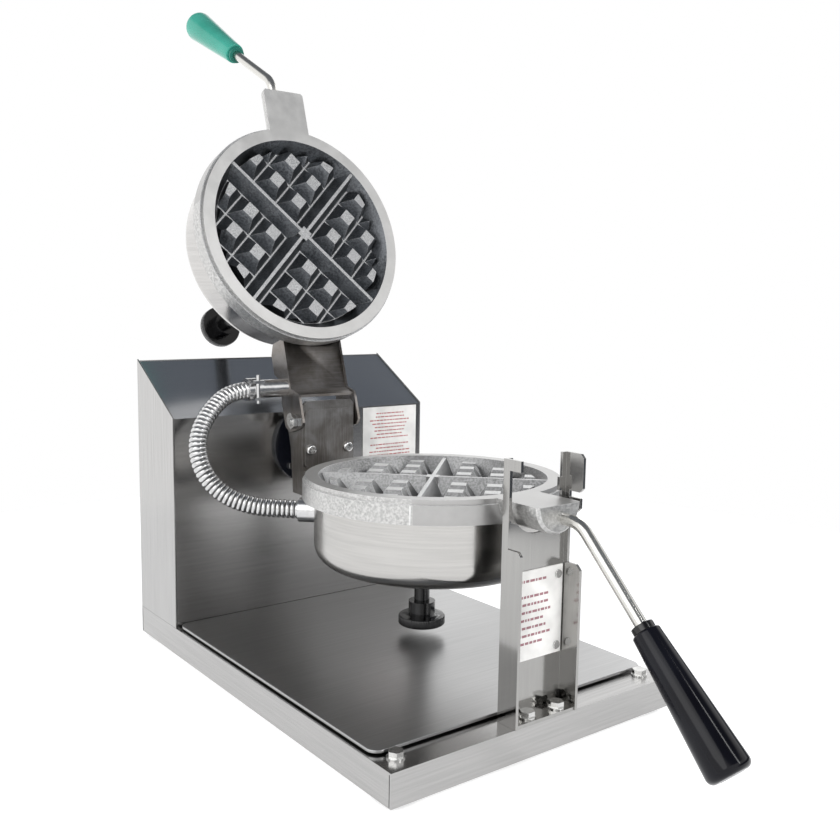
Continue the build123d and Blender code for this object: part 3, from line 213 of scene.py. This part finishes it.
def machined(name, tint):
    """Faced metal: fine tool marks and small scuffs."""
    paint = Paint(name, tint, 0.75, 0.25)
    marks = paint.noise((1300, 40, 40), 2.0, 0.5)
    scuffs = paint.noise(55, 3.0, 0.6)
    paint.colour(paint.blend(paint.spread(scuffs, 0, 1), darker(tint, 0.86), tint))
    paint.roughness(paint.spread(scuffs, 0.3, 0.42))
    paint.bump(marks, 0.03, 0.1 * MM)
    return paint.material


def plated(name, tint, low=0.14, high=0.26):
    """Bright zinc or nickel plate with faint clouding."""
    paint = Paint(name, tint, 1.0, low)
    clouds = paint.noise(260, 3.0, 0.6)
    paint.colour(paint.blend(paint.spread(clouds, 0, 1), darker(tint, 0.82), tint))
    paint.roughness(paint.spread(clouds, low, high))
    paint.bump(clouds, 0.04, 0.2 * MM)
    return paint.material


def bracket_finish(name, tint, grain):
    """Heavy bent strip: brownish mill finish, long scratches and rubbed patches."""
    paint = Paint(name, tint, 1.0, 0.3)
    lines = paint.noise(grain_along(grain, 30, 1100), 4.0, 0.7)
    clouds = paint.noise(26, 4.0, 0.65, distortion=0.6)
    brown = (tint[0] * 0.62, tint[1] * 0.58, tint[2] * 0.54)
    bright = tuple(min(1, c * 1.35) for c in tint)
    base = paint.blend(paint.spread(clouds, 0, 1, 0.35, 0.68), brown, tint)
    paint.colour(paint.blend(paint.spread(lines, 0, 0.5, 0.45, 0.75), base, bright))
    paint.roughness(paint.spread(clouds, 0.29, 0.44))
    paint.bump(lines, 0.08, 0.15 * MM)
    return paint.material


def phenolic(name, deep, bright, roughness):
    """Moulded handle resin: glossy, faintly marbled, with a soft orange-peel skin."""
    paint = Paint(name, bright, 0.0, roughness)
    paint.shader.inputs["Specular IOR Level"].default_value = 0.22
    swirl = paint.noise(30, 1.0, 0.5)
    skin = paint.noise(420, 2.0, 0.5)
    paint.colour(paint.blend(paint.spread(swirl, 0, 1), deep, bright))
    paint.roughness(paint.spread(swirl, roughness, roughness * 1.5))
    paint.bump(skin, 0.03, 0.1 * MM)
    return paint.material


def moulded(name, tint, low, high, grain=900.0, strength=0.12):
    """Plain moulded plastic or rubber with a fine matt grain."""
    paint = Paint(name, tint, 0.0, low)
    skin = paint.noise(grain, 2.0, 0.5)
    clouds = paint.noise(60, 2.0, 0.5)
    light = tuple(min(1, c * 1.25 + 0.001) for c in tint)
    paint.colour(paint.blend(paint.spread(clouds, 0, 1), tint, light))
    paint.roughness(paint.spread(skin, low, high))
    paint.bump(skin, strength, 0.1 * MM)
    return paint.material


# ---- Mesh helpers ---------------------------------------------------------------------------
def to_mesh(name, bm):
    """Turns a bmesh into a mesh, and lets go of the bmesh."""
    mesh = bpy.data.meshes.new(name)
    bm.to_mesh(mesh)
    bm.free()
    return mesh


def show(name, mesh, node, materials, stands_for_it=True):
    """Links a finished mesh that rides with a node, and mostly stands for it."""
    for material in materials:
        mesh.materials.append(material)
    piece = bpy.data.objects.new(name, mesh)
    bpy.context.scene.collection.objects.link(piece)
    if stands_for_it:
        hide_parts(node)
    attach(piece, owner[node])
    return piece


EDGE_ANGLE = 32                  # degrees; edges sharper than this are rounded or left crisp
ANY_MATERIAL = -1                # a rounded edge takes its material from the faces beside it


def shade_smooth(mesh):
    for face in mesh.polygons:
        face.use_smooth = True


def smooth(mesh, angle=EDGE_ANGLE):
    """Smooth shading, with every edge sharper than the angle left crisp."""
    shade_smooth(mesh)
    mesh.set_sharp_from_angle(angle=radians(angle))


def add_bevel(piece, width, segments, edge_material):
    """A small rounded edge that catches the light, with flat faces kept flat."""
    bevel = piece.modifiers.new("rounded_edge", "BEVEL")
    bevel.material = edge_material
    bevel.width = width
    bevel.segments = segments
    bevel.limit_method = "ANGLE"
    bevel.angle_limit = radians(EDGE_ANGLE)
    bevel.use_clamp_overlap = True
    piece.modifiers.new("flat_faces", "WEIGHTED_NORMAL").keep_sharp = True


def merged(node):
    """A copy of a node's mesh as a bmesh, with its loose triangles joined into whole faces."""
    bm = bmesh.new()
    bm.from_mesh(frame["nodes"][node].data)
    bmesh.ops.remove_doubles(bm, verts=bm.verts, dist=0.002 * MM)
    bmesh.ops.dissolve_limit(bm, angle_limit=radians(0.4), verts=bm.verts, edges=bm.edges)
    return bm


def refine(node, materials, width, segments=2, sort=None, edge_material=ANY_MATERIAL):
    """A CAD node's own shape, with rounded edges unless width is 0; sort picks each face's material."""
    bm = merged(node)
    if sort:
        for face in bm.faces:
            face.material_index = sort(face)
    mesh = to_mesh(node + "_finish", bm)
    piece = show(node + "_finish", mesh, node, materials)
    if width:
        shade_smooth(mesh)
        add_bevel(piece, width, segments, edge_material)
    else:
        smooth(mesh)


def add_box(bm, low, high):
    """A box between two corners."""
    size = Vector(high) - Vector(low)
    middle = (Vector(high) + Vector(low)) / 2
    place = Matrix.Translation(middle) @ Matrix.Diagonal((*size, 1))
    bmesh.ops.create_cube(bm, size=1, matrix=place)


def spin_profile(points, steps):
    """A solid of revolution about Z from (radius, height) points that start and end on the axis."""
    bm = bmesh.new()
    verts = [bm.verts.new((r, 0, z)) for r, z in points]
    edges = [bm.edges.new(pair) for pair in zip(verts, verts[1:])]
    bmesh.ops.spin(bm, geom=verts + edges, axis=(0, 0, 1), cent=(0, 0, 0), angle=2 * pi, steps=steps,
                   use_merge=True)
    bmesh.ops.remove_doubles(bm, verts=bm.verts, dist=0.005 * MM)
    bmesh.ops.recalc_face_normals(bm, faces=bm.faces)
    return bm


def arc(centre, radius, start, end, count):
    """Points of an arc in the profile's plane, angles in degrees."""
    turns = [radians(start + (end - start) * i / count) for i in range(count + 1)]
    return [(centre[0] + radius * cos(t), centre[1] + radius * sin(t)) for t in turns]


# ---- Where the lid's shapes stand -------------------------------------------------------------
HINGE_BACK = 105.0               # from the base's middle back to the hinge's axis
HINGE_HEIGHT = 217.5
hinge = Vector((0, HINGE_BACK, HINGE_HEIGHT)) * MM
hinge.y += home.y
open_turn = (Matrix.Translation(hinge) @ Matrix.Rotation(-OPEN_ANGLE, 4, "X")
             @ Matrix.Translation(-hinge))
flip = (Matrix.Translation((0, 0, AXIS_Z)) @ Matrix.Rotation(pi, 4, "Y")
        @ Matrix.Translation((0, 0, -AXIS_Z)))
to_lid = open_turn @ flip
LID_FACE = to_lid.to_3x3() @ Vector((0, 0, 1))       # the way the lid's cooking side faces
LID_GRAIN = (OPEN_ANGLE, 0, 0)                       # turns the rings of its bowl with it


# ---- Flexible conduit -------------------------------------------------------------------------
CONDUIT_ROUTE = (
    (-60.0, 15.0, 150.5), (-79.0, 34.0, 150.5), (-102.0, 53.0, 152.0), (-123.0, 72.0, 163.0),
    (-134.0, 86.0, 185.0), (-131.0, 98.0, 210.0), (-113.0, 108.0, 232.0), (-87.0, 116.0, 247.0),
    (-60.0, 116.0, 247.0),
)
CONDUIT_RADIUS = 8.0 * MM
RIB_PITCH = 4.2 * MM
RIB_GROOVE = 1.3 * MM
RIB_SHAPE = ((0.0, 1.0), (0.14, 0.9), (0.24, 0.25), (0.42, 0.0), (0.68, 0.0), (0.88, 0.3))
# Each pair above is a share of the pitch and a share of the groove's depth there.
SHADE_BELOW = 0.8                 # this deep a share of the groove takes darker zinc, painted shade in the groove
CONDUIT_SIDES = 28


def route_line():
    """The conduit's centre line, read from a NURBS spline on its route."""
    curve = bpy.data.curves.new("conduit_route", "CURVE")
    curve.dimensions = "3D"
    curve.resolution_u = 24
    spline = curve.splines.new("NURBS")
    spline.points.add(len(CONDUIT_ROUTE) - 1)
    for point, place in zip(spline.points, CONDUIT_ROUTE):
        point.co = (*(Vector(place) * MM + home), 1)
    spline.order_u = 3
    spline.use_endpoint_u = True
    holder = bpy.data.objects.new("conduit_route", curve)
    bpy.context.scene.collection.objects.link(holder)
    line = bpy.data.meshes.new_from_object(holder)
    points = [v.co.copy() for v in line.vertices]
    bpy.data.objects.remove(holder)
    bpy.data.curves.remove(curve)
    bpy.data.meshes.remove(line)
    return points


def walk(points, distances):
    """Places and directions at these distances along a line of points."""
    lengths = [0.0]
    for a, b in zip(points, points[1:]):
        lengths.append(lengths[-1] + (b - a).length)
    found = []
    k = 0
    for distance in distances:
        while k < len(points) - 2 and lengths[k + 1] < distance:
            k += 1
        share = (distance - lengths[k]) / max(lengths[k + 1] - lengths[k], 1e-9)
        ahead = (points[k + 1] - points[k]).normalized()
        if k and share < 0.5:
            ahead = ((points[k] - points[k - 1]).normalized() + ahead).normalized()
        found.append((points[k].lerp(points[k + 1], share), ahead))
    return found


def make_conduit(material, groove_shade_material):
    """Ribbed hose along the route."""
    line = route_line()
    total = sum((b - a).length for a, b in zip(line, line[1:]))
    ribs = int(total / RIB_PITCH)
    pitch = total / ribs
    stops = [((i + share) * pitch, CONDUIT_RADIUS - drop * RIB_GROOVE)
             for i in range(ribs) for share, drop in RIB_SHAPE]
    bm = bmesh.new()
    previous = None
    side = Vector((0, 0, 1))
    for (place, ahead), (_, radius) in zip(walk(line, [s for s, _ in stops]), stops):
        side = (side - ahead * side.dot(ahead)).normalized()
        across = ahead.cross(side)
        turn = Matrix((side, across, ahead)).transposed().to_4x4()
        stand = Matrix.Translation(place) @ turn
        ring = bmesh.ops.create_circle(bm, segments=CONDUIT_SIDES, radius=radius, matrix=stand)["verts"]
        edges = list({e for v in ring for e in v.link_edges if e.other_vert(v) in ring})
        if previous:
            band = bmesh.ops.bridge_loops(bm, edges=previous + edges)["faces"]
            for face in band:
                face.material_index = 1 if radius < CONDUIT_RADIUS - SHADE_BELOW * RIB_GROOVE else 0
        previous = edges
    bmesh.ops.holes_fill(bm, edges=[e for e in bm.edges if e.is_boundary])
    bmesh.ops.recalc_face_normals(bm, faces=bm.faces)
    mesh = to_mesh("conduit", bm)
    shade_smooth(mesh)
    mesh.materials.append(material)
    mesh.materials.append(groove_shade_material)
    piece = bpy.data.objects.new("conduit", mesh)
    bpy.context.scene.collection.objects.link(piece)
    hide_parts("flex_conduit")
    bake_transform(piece)
    print("conduit follows", round(total / MM, 1), "mm")


# ---- Grips ------------------------------------------------------------------------------------
GRIP_NEAR = 10.0 * MM            # radius at the rod
GRIP_FAR = 15.5 * MM             # radius at the domed end
GRIP_LENGTH = 100.0 * MM
GRIP_DOME = 5.0 * MM
GRIP_SHOULDER = 1.5 * MM
GRIP_BORE = 4.5 * MM
BORE_DEPTH = 60 * MM
BORE_EDGE = 0.3 * MM
TAPER_START = 2 * MM
TAPER_STEPS = 12
RING_RADII = (8.2 * MM, 7.6 * MM, 7.0 * MM)      # outer edge, bottom and inner edge of the end's ring
RING_DEPTH = 0.5 * MM
GRIP_STEPS = 72
GRIP_CRISP = 50                  # degrees
ROD_ANGLE = radians(45)
GRIP_FROM_FERRULE = 2.5 * MM     # from the ferrule's middle to the grip's small end


def make_grip(name, node, material, ring_material, ring_node, to_place):
    """Tapered grip with a soft shoulder at the rod and a domed end with a shallow ring."""
    dome = arc((GRIP_FAR - GRIP_DOME, GRIP_LENGTH - GRIP_DOME), GRIP_DOME, 0, 90, 8)
    ring_out, ring_bottom, ring_in = RING_RADII
    end = [(ring_out, GRIP_LENGTH), (ring_bottom, GRIP_LENGTH - RING_DEPTH), (ring_in, GRIP_LENGTH),
           (0, GRIP_LENGTH)]
    shoulder = arc((GRIP_NEAR - GRIP_SHOULDER, GRIP_SHOULDER), GRIP_SHOULDER, -90, 0, 5)
    widening = GRIP_FAR - GRIP_NEAR
    run = GRIP_LENGTH - GRIP_DOME - TAPER_START
    taper = [(GRIP_NEAR + widening * t / TAPER_STEPS, TAPER_START + run * t / TAPER_STEPS)
             for t in range(1, TAPER_STEPS)]
    bore = [(0, BORE_DEPTH), (GRIP_BORE, BORE_DEPTH), (GRIP_BORE, BORE_EDGE), (GRIP_BORE + BORE_EDGE, 0)]
    bm = spin_profile(bore + shoulder + taper + dome + end, GRIP_STEPS)
    bmesh.ops.transform(bm, matrix=to_place, verts=bm.verts)
    mesh = to_mesh(name, bm)
    smooth(mesh, GRIP_CRISP)
    show(name, mesh, node, [material])
    refine(ring_node, [ring_material], 0.5 * MM, 3)


def grip_place():
    """Turns the grip's own axis onto the lower rod's slope, with its small end at the ferrule."""
    ferrule_low, ferrule_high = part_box("lower_ferrule")
    slope = Vector((0, -cos(ROD_ANGLE), -sin(ROD_ANGLE)))
    middle = (ferrule_low + ferrule_high) / 2
    start = middle + slope * GRIP_FROM_FERRULE
    return Matrix.Translation(start) @ slope.to_track_quat("Z", "Y").to_matrix().to_4x4()


# ---- Waffle castings ----------------------------------------------------------------------------
RIM_CENTRE = Vector((0, -71.5, 0)) * MM
RIM_CENTRE.y += home.y
WAFFLE_RADIUS = 96.5 * MM        # everything inside it and near the rim is cooking surface
BAND_FACE = 104.0 * MM           # everything outside it belongs to the band
BAND_REACH = 107.0 * MM
TURNED_FROM = -137               # degrees; the band is skimmed on the lathe between these two
TURNED_TO = -15
FACED_DEPTH = 0.3 * MM           # the faced rim lies this close to the casting's highest level
COOKING_DEPTH = 17 * MM
SEAM_LOW = (BAND_REACH - 0.8 * MM, -0.5 * MM, 171.3 * MM)
SEAM_HIGH = (BAND_REACH + 0.35 * MM, 0.5 * MM, 185.5 * MM)

# A casting's materials, in their order: band as cast, faced rim, flanks and flat tops of the cooking
# side (painted light on the lower casting, painted shade on the upper, tops lighter as a painted
# highlight), edges in a painted highlight, and skimmed band.
BAND, FACED, FLANK, TOP, EDGE, SKIMMED = range(6)


def grid_sorter(node, facing, to_lower):
    """Picks the material of a casting's faces, except for EDGE, which the rounded edges take.
    to_lower takes a point of this casting to the lower one's place."""
    mesh = frame["nodes"][node].data
    level = max(v.co.dot(facing) for v in mesh.vertices)

    def sort(face):
        centre = face.calc_center_median()
        depth = level - centre.dot(facing)
        out = to_lower @ centre - RIM_CENTRE
        radius = out.xy.length
        turned = face.normal.dot(facing)
        if depth < FACED_DEPTH and turned > 0.9:
            return FACED
        if radius < WAFFLE_RADIUS and depth < COOKING_DEPTH and turned > -0.05:
            # Tops take a lighter paint than the flanks: a painted highlight.
            return TOP if turned > 0.97 else FLANK
        angle = degrees(atan2(out.y, out.x))
        if BAND_FACE < radius < BAND_REACH + MM and TURNED_FROM < angle < TURNED_TO:
            return SKIMMED
        return BAND
    return sort


def make_band_seam(name, node, material, to_place):
    """Thin upright flash line where the skimmed part of the band starts."""
    bm = bmesh.new()
    add_box(bm, SEAM_LOW, SEAM_HIGH)
    turn = Matrix.Translation(RIM_CENTRE) @ Matrix.Rotation(radians(TURNED_FROM), 4, "Z")
    bmesh.ops.transform(bm, matrix=to_place @ turn, verts=bm.verts)
    bmesh.ops.recalc_face_normals(bm, faces=bm.faces)
    show(name, to_mesh(name, bm), node, [material], stands_for_it=False)


# ---- Labels ----------------------------------------------------------------------------------------
BAR_BEFORE = 0.04 * MM           # a bar's face in front of the label's, and its back behind it
BAR_BEHIND = 0.02 * MM
WORD_GAP = 0.9 * MM
LAST_WORD = 1.5 * MM             # no word starts closer than this to its row's end


def print_rows(name, node, material, margins, rows, thick, seed):
    """Rows of plain bars on a label, in place of printing, inside margins at its left, right, top and
    bottom."""
    low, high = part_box(node)
    left = low.x + margins[0] * MM
    right = high.x - margins[1] * MM
    top = high.z - margins[2] * MM
    bottom = low.z + margins[3] * MM
    dice = random.Random(seed)
    bm = bmesh.new()
    pitch = (top - bottom) / rows
    for i in range(rows):
        if dice.random() < 0.12:
            continue
        half = (right - left) / 2 * dice.uniform(0.6, 1.0)
        middle = (left + right) / 2
        z = top - (i + 0.5) * pitch
        x = middle - half
        while x < middle + half - LAST_WORD:
            word = min(dice.uniform(1.6, 5.0) * MM, middle + half - x)
            add_box(bm, (x, low.y - BAR_BEFORE, z - thick / 2), (x + word, low.y + BAR_BEHIND, z + thick / 2))
            x += word + WORD_GAP
    show(name, to_mesh(name, bm), node, [material], stands_for_it=False)


# ---- Light -----------------------------------------------------------------------------------------
def ramp_math(tree, operation, *values):
    """A sum on numbers and sockets, kept between 0 and 1."""
    node = tree.nodes.new("ShaderNodeMath")
    node.operation = operation
    node.use_clamp = True
    for socket, value in zip(node.inputs, values):
        if isinstance(value, bpy.types.NodeSocket):
            tree.links.new(value, socket)
        else:
            socket.default_value = value
    return node.outputs[0]


def ease(tree, value, start, end):
    """0 before start, 1 after end, smooth between."""
    node = tree.nodes.new("ShaderNodeMapRange")
    node.interpolation_type = "SMOOTHSTEP"
    node.inputs["From Min"].default_value = start
    node.inputs["From Max"].default_value = end
    tree.links.new(value, node.inputs["Value"])
    return node.outputs["Result"]


def less(tree, amount, share):
    """What a part of the studio leaves of the light: 1 less this share of its amount."""
    return ramp_math(tree, "SUBTRACT", 1.0, ramp_math(tree, "MULTIPLY", amount, share))


def mix(tree, amount, first, second):
    """A colour between two, each a colour or a socket."""
    node = tree.nodes.new("ShaderNodeMix")
    node.data_type = "RGBA"
    tree.links.new(amount, node.inputs["Factor"])
    for socket, value in zip(node.inputs[6:8], (first, second)):
        if isinstance(value, bpy.types.NodeSocket):
            tree.links.new(value, socket)
        else:
            socket.default_value = value
    return node.outputs[2]


DARK_SIDE = Vector((0.93, -0.37, 0.0))      # a black flag stands on the right, towards the front
FLAG_EDGE = (0.35, 0.8)          # it darkens directions from this near to DARK_SIDE to this near
FLAG_TOP = (0.12, 0.3)           # and fades out between these heights
FLAG_SHARE = 0.93
CEILING_EDGE = (0.52, 0.7)       # the dark ceiling comes in between these heights
CEILING_SHARE = 0.9
DARK_TINT = (0.035, 0.048, 0.07, 1)
SKY = 1.35


def make_studio():
    """White surroundings with a black flag on the right and a dark ceiling; seen directly, all white."""
    world = bpy.data.worlds.new("studio")
    bpy.context.scene.world = world
    world.use_nodes = True
    tree = world.node_tree
    back = tree.nodes["Background"]
    direction = tree.nodes.new("ShaderNodeTexCoord").outputs["Generated"]
    split = tree.nodes.new("ShaderNodeSeparateXYZ")
    tree.links.new(direction, split.inputs[0])
    height = split.outputs["Z"]
    toward = tree.nodes.new("ShaderNodeVectorMath")
    toward.operation = "DOT_PRODUCT"
    toward.inputs[1].default_value = DARK_SIDE
    tree.links.new(direction, toward.inputs[0])
    flag = ease(tree, toward.outputs["Value"], *FLAG_EDGE)
    low_down = ramp_math(tree, "SUBTRACT", 1.0, ease(tree, height, *FLAG_TOP))
    flag = ramp_math(tree, "MULTIPLY", flag, low_down)
    ceiling = ease(tree, height, *CEILING_EDGE)
    kept = ramp_math(tree, "MULTIPLY", less(tree, flag, FLAG_SHARE), less(tree, ceiling, CEILING_SHARE))
    tint = mix(tree, kept, DARK_TINT, (SKY, SKY, SKY, 1))
    direct = tree.nodes.new("ShaderNodeLightPath").outputs["Is Camera Ray"]
    tree.links.new(mix(tree, direct, tint, (1, 1, 1, 1)), back.inputs["Color"])


def softbox(name, place, target, width, height, power):
    """A rectangular light; place and target are in metres from the base's middle."""
    light = bpy.data.lights.new(name, "AREA")
    light.shape = "RECTANGLE"
    light.size = width
    light.size_y = height
    light.energy = power
    lamp = bpy.data.objects.new(name, light)
    start = home + Vector(place)
    aim = (home + Vector(target)) - start
    lamp.matrix_world = Matrix.Translation(start) @ aim.to_track_quat("-Z", "Y").to_matrix().to_4x4()
    bpy.context.scene.collection.objects.link(lamp)


FLOOR_RADIUS = 0.85
FLOOR_DROP = 0.2 * MM            # below the feet
FLOOR_GLOW = 0.6


def make_floor():
    """Pale round floor that glows faintly, so that it stays nearly white."""
    bm = bmesh.new()
    bmesh.ops.create_circle(bm, cap_ends=True, segments=96, radius=FLOOR_RADIUS)
    bmesh.ops.transform(bm, matrix=Matrix.Translation((0, 0, -FLOOR_DROP)), verts=bm.verts)
    mesh = to_mesh("floor", bm)
    paint = Paint("pale_floor", (0.8, 0.8, 0.8), 0.0, 0.8)
    tone = paint.noise(3, 2.0, 0.5)
    paint.colour(paint.blend(paint.spread(tone, 0, 1), (0.79, 0.79, 0.79), (0.82, 0.82, 0.82)))
    paint.shader.inputs["Emission Color"].default_value = (1, 1, 1, 1)
    paint.shader.inputs["Emission Strength"].default_value = FLOOR_GLOW
    mesh.materials.append(paint.material)
    floor = bpy.data.objects.new("floor", mesh)
    bpy.context.scene.collection.objects.link(floor)


# ---- All of it ------------------------------------------------------------------------------------
STEEL = (0.44, 0.435, 0.43)


def main():
    make_camera()
    conduit_zinc = plated("conduit_zinc", (0.62, 0.62, 0.62), 0.16, 0.26)
    # Darker zinc inside the conduit's grooves: painted shade.
    conduit_groove_shade = plated("conduit_groove_shade", (0.1, 0.1, 0.1), 0.4, 0.55)
    make_conduit(conduit_zinc, conduit_groove_shade)

    sheet_x = brushed("sheet_grain_x", STEEL, "x", 0.2, 0.26)
    # The housing front's steel is darker than the sides' steel: painted shade.
    front_sheet_painted_shade = brushed("front_sheet_painted_shade", (0.34, 0.335, 0.33), "x", 0.2, 0.26)
    sheet_y = brushed("sheet_grain_y", STEEL, "y", 0.2, 0.26)
    sheet_z = brushed("sheet_grain_z", STEEL, "z", 0.18, 0.26)
    tray_sheet = brushed("tray_sheet", (0.46, 0.46, 0.46), "x", 0.3, 0.36)
    # Blue-tinted steel for the housing's upward slope: a painted reflection of the dark ceiling.
    slope_sheet_painted_reflection = brushed("slope_sheet_painted_reflection", (0.5, 0.52, 0.55), "x", 0.14, 0.2, 0.06)
    polished = brushed("polished_sheet", (0.37, 0.365, 0.355), "z", 0.08, 0.18, 0.08, 0.03)
    lower_bowl = spun("lower_bowl", (0.5, 0.49, 0.475))
    upper_bowl = spun("upper_bowl", (0.52, 0.51, 0.5), LID_GRAIN)
    zinc = plated("bright_zinc", (0.66, 0.66, 0.65))
    rod_steel = brushed("rod_steel", (0.62, 0.61, 0.58), "y", 0.19, 0.26, 0.08, 0.03)
    strip_x = bracket_finish("strip_grain_x", (0.3, 0.285, 0.275), "x")
    strip_z = bracket_finish("strip_grain_z", (0.29, 0.285, 0.28), "z")
    # Near-black finish for the pivot bearing: a painted dark reflection.
    bearing_dark_reflection = moulded("bearing_painted_reflection", (0.006, 0.007, 0.011), 0.14, 0.24, 300, 0.02)
    band_cast = cast("band_casting", (0.34, 0.34, 0.335), (0.62, 0.615, 0.605), 0.28, 0.4, 480, 0.5, 0.85)
    faced = machined("faced_rim", (0.56, 0.555, 0.545))
    skimmed = machined("skimmed_band", (0.42, 0.415, 0.41))
    # Bright paint for rounded waffle edges and flash lines: a painted highlight.
    edge_highlight_paint = cast("painted_edge_highlights", (0.55, 0.55, 0.55), (0.85, 0.85, 0.84), 0.3, 0.45, 900, 0.2, 0.75)
    # Flank and top paints of the two castings: the lower's are painted light, the upper's painted shade, each
    # one's tops a painted highlight.
    lower_flank_painted_light = cast("lower_flanks_painted_light", (0.16, 0.16, 0.16), (0.38, 0.38, 0.38), 0.3, 0.45, 600, 0.25, 0.8)
    lower_top_painted_highlight = cast("lower_tops_painted_highlight", (0.5, 0.5, 0.5), (0.9, 0.9, 0.89), 0.29, 0.5, 1000, 0.6, 0.7)
    upper_flank_painted_shade = cast("upper_flanks_painted_shade", (0.1, 0.107, 0.115), (0.24, 0.25, 0.265), 0.3, 0.48, 500, 0.2)
    upper_top_painted_shade_and_highlight = cast("upper_tops_painted_shade_and_highlight", (0.22, 0.225, 0.23), (0.6, 0.6, 0.6), 0.3, 0.55, 1000, 0.6)
    black = phenolic("black_resin", (0.002, 0.002, 0.004), (0.005, 0.0055, 0.009), 0.1)
    green = phenolic("green_resin", (0.035, 0.27, 0.205), (0.055, 0.34, 0.265), 0.17)
    green_ring = phenolic("green_ring", (0.01, 0.12, 0.09), (0.018, 0.18, 0.135), 0.17)
    knob_black = moulded("knob_black", (0.0015, 0.0015, 0.002), 0.12, 0.24, 700, 0.02)
    plastic = moulded("black_plastic_grain", (0.02, 0.02, 0.021), 0.35, 0.5)
    rubber = moulded("foot_rubber", (0.02, 0.02, 0.02), 0.6, 0.8, 500, 0.3)
    paper = moulded("label_paper", (0.8, 0.79, 0.77), 0.32, 0.42, 300, 0.03)
    ink = moulded("label_ink", (0.42, 0.12, 0.12), 0.5, 0.6, 900, 0.02)
    grey_ink = moulded("plate_ink", (0.32, 0.16, 0.18), 0.45, 0.55, 900, 0.02)
    red_lens = moulded("lamp_lens", (0.5, 0.02, 0.01), 0.08, 0.12, 500, 0.02)
    bronze = plated("bush_bronze", (0.6, 0.4, 0.2), 0.3, 0.45)
    sheath = plated("heater_sheath", (0.3, 0.28, 0.26), 0.4, 0.6)

    # Node, finish and the width of its rounded edges in millimetres
    for node, material, width in (
            ("drip_tray", tray_sheet, 0.4), ("housing_left", sheet_z, 0.3),
            ("housing_right", sheet_z, 0.3), ("housing_back", sheet_x, 0.3), ("front_stand", polished, 0.3),
            ("foot_bolts", zinc, 0.3), ("stand_bolts", zinc, 0.3), ("back_screws", zinc, 0.5),
            ("bearing_screws", zinc, 0.3), ("label_rivets", zinc, 0.4), ("pivot_bearing", bearing_dark_reflection, 0.4),
            ("pivot_bushings", bronze, 0.2), ("pivot_tube", strip_x, 0.4), ("retaining_collar", strip_x, 0.4),
            ("collar_screw", zinc, 0), ("lower_shell_screws", zinc, 0.3), ("upper_shell_screws", zinc, 0.3),
            ("lower_bracket_screws", zinc, 0.3), ("upper_bracket_screws", zinc, 0.3),
            ("pivot_screws", zinc, 0.25), ("hinge_pin", zinc, 0.4), ("earth_stud", zinc, 0.4),
            ("lower_bracket", strip_z, 0.4), ("upper_bracket", strip_x, 0), ("pivot_plate", strip_z, 0.5),
            ("lower_handle_rod", rod_steel, 0), ("upper_handle_rod", rod_steel, 0),
            ("lower_shell", lower_bowl, 0), ("upper_shell", upper_bowl, 0),
            ("lower_knob", knob_black, 0), ("upper_knob", knob_black, 0),
            ("lower_knob_shaft", zinc, 0), ("upper_knob_shaft", zinc, 0),
            ("lower_connector", conduit_zinc, 0.4), ("upper_connector", conduit_zinc, 0.4),
            ("rubber_feet", rubber, 0), ("tray_pads", rubber, 0), ("power_inlet", plastic, 0.4),
            ("rocker_bezel", plastic, 0.4), ("power_rocker", plastic, 0.5), ("pilot_lamp", red_lens, 0.3),
            ("terminal_block", plastic, 0.4), ("lower_thermostat", plastic, 0.4),
            ("upper_thermostat", plastic, 0.4), ("lower_element", sheath, 0), ("upper_element", sheath, 0),
            ("housing_label", paper, 0.1), ("stand_label", paper, 0.15)):
        refine(node, [material], width * MM)

    refine("base_pan", [sheet_x, sheet_y], 0.5 * MM, 2,
           lambda face: 1 if abs(face.normal.x) > 0.7 else 0)
    # Faces turned upward take the slope's painted reflection, the rest the front's painted shade.
    refine("housing_front", [front_sheet_painted_shade, slope_sheet_painted_reflection], 0.6 * MM, 3,
           lambda face: 1 if face.normal.z > 0.3 else 0)
    # Cooking sides in painted light (lower) and painted shade (upper); rounded edges in a painted highlight.
    refine("lower_grid", [band_cast, faced, lower_flank_painted_light, lower_top_painted_highlight, edge_highlight_paint, skimmed], 0.6 * MM, 2,
           grid_sorter("lower_grid", Vector((0, 0, 1)), Matrix.Identity(4)), EDGE)
    refine("upper_grid", [band_cast, faced, upper_flank_painted_shade, upper_top_painted_shade_and_highlight, edge_highlight_paint, skimmed], 0.6 * MM, 2,
           grid_sorter("upper_grid", LID_FACE, to_lid.inverted()), EDGE)
    # The flash lines take the painted edge highlight.
    make_band_seam("lower_band_seam", "lower_grid", edge_highlight_paint, Matrix.Identity(4))
    make_band_seam("upper_band_seam", "upper_grid", edge_highlight_paint, to_lid)

    lower_place = grip_place()
    make_grip("black_grip", "lower_grip", black, knob_black, "lower_ferrule", lower_place)
    make_grip("green_grip", "upper_grip", green, green_ring, "upper_ferrule", to_lid @ lower_place)

    print_rows("label_print", "housing_label", ink, (7, 7, 5, 4), rows=17, thick=1.2 * MM, seed=4)
    print_rows("plate_print", "stand_label", grey_ink, (2, 11, 5, 10), rows=9, thick=1.9 * MM, seed=9)

    make_studio()
    make_floor()
    softbox("key_left", (-1.6, -0.5, 1.3), (0, 0, 0.25), 1.6, 1.6, 14)
    softbox("front_strip", (0.35, -1.5, 1.1), (0, 0, 0.3), 0.14, 1.1, 5)
    softbox("right_strip", (1.3, 0.5, 0.7), (0, 0, 0.25), 0.12, 1.2, 2)
    bpy.context.scene.view_settings.view_transform = "Standard"


main()
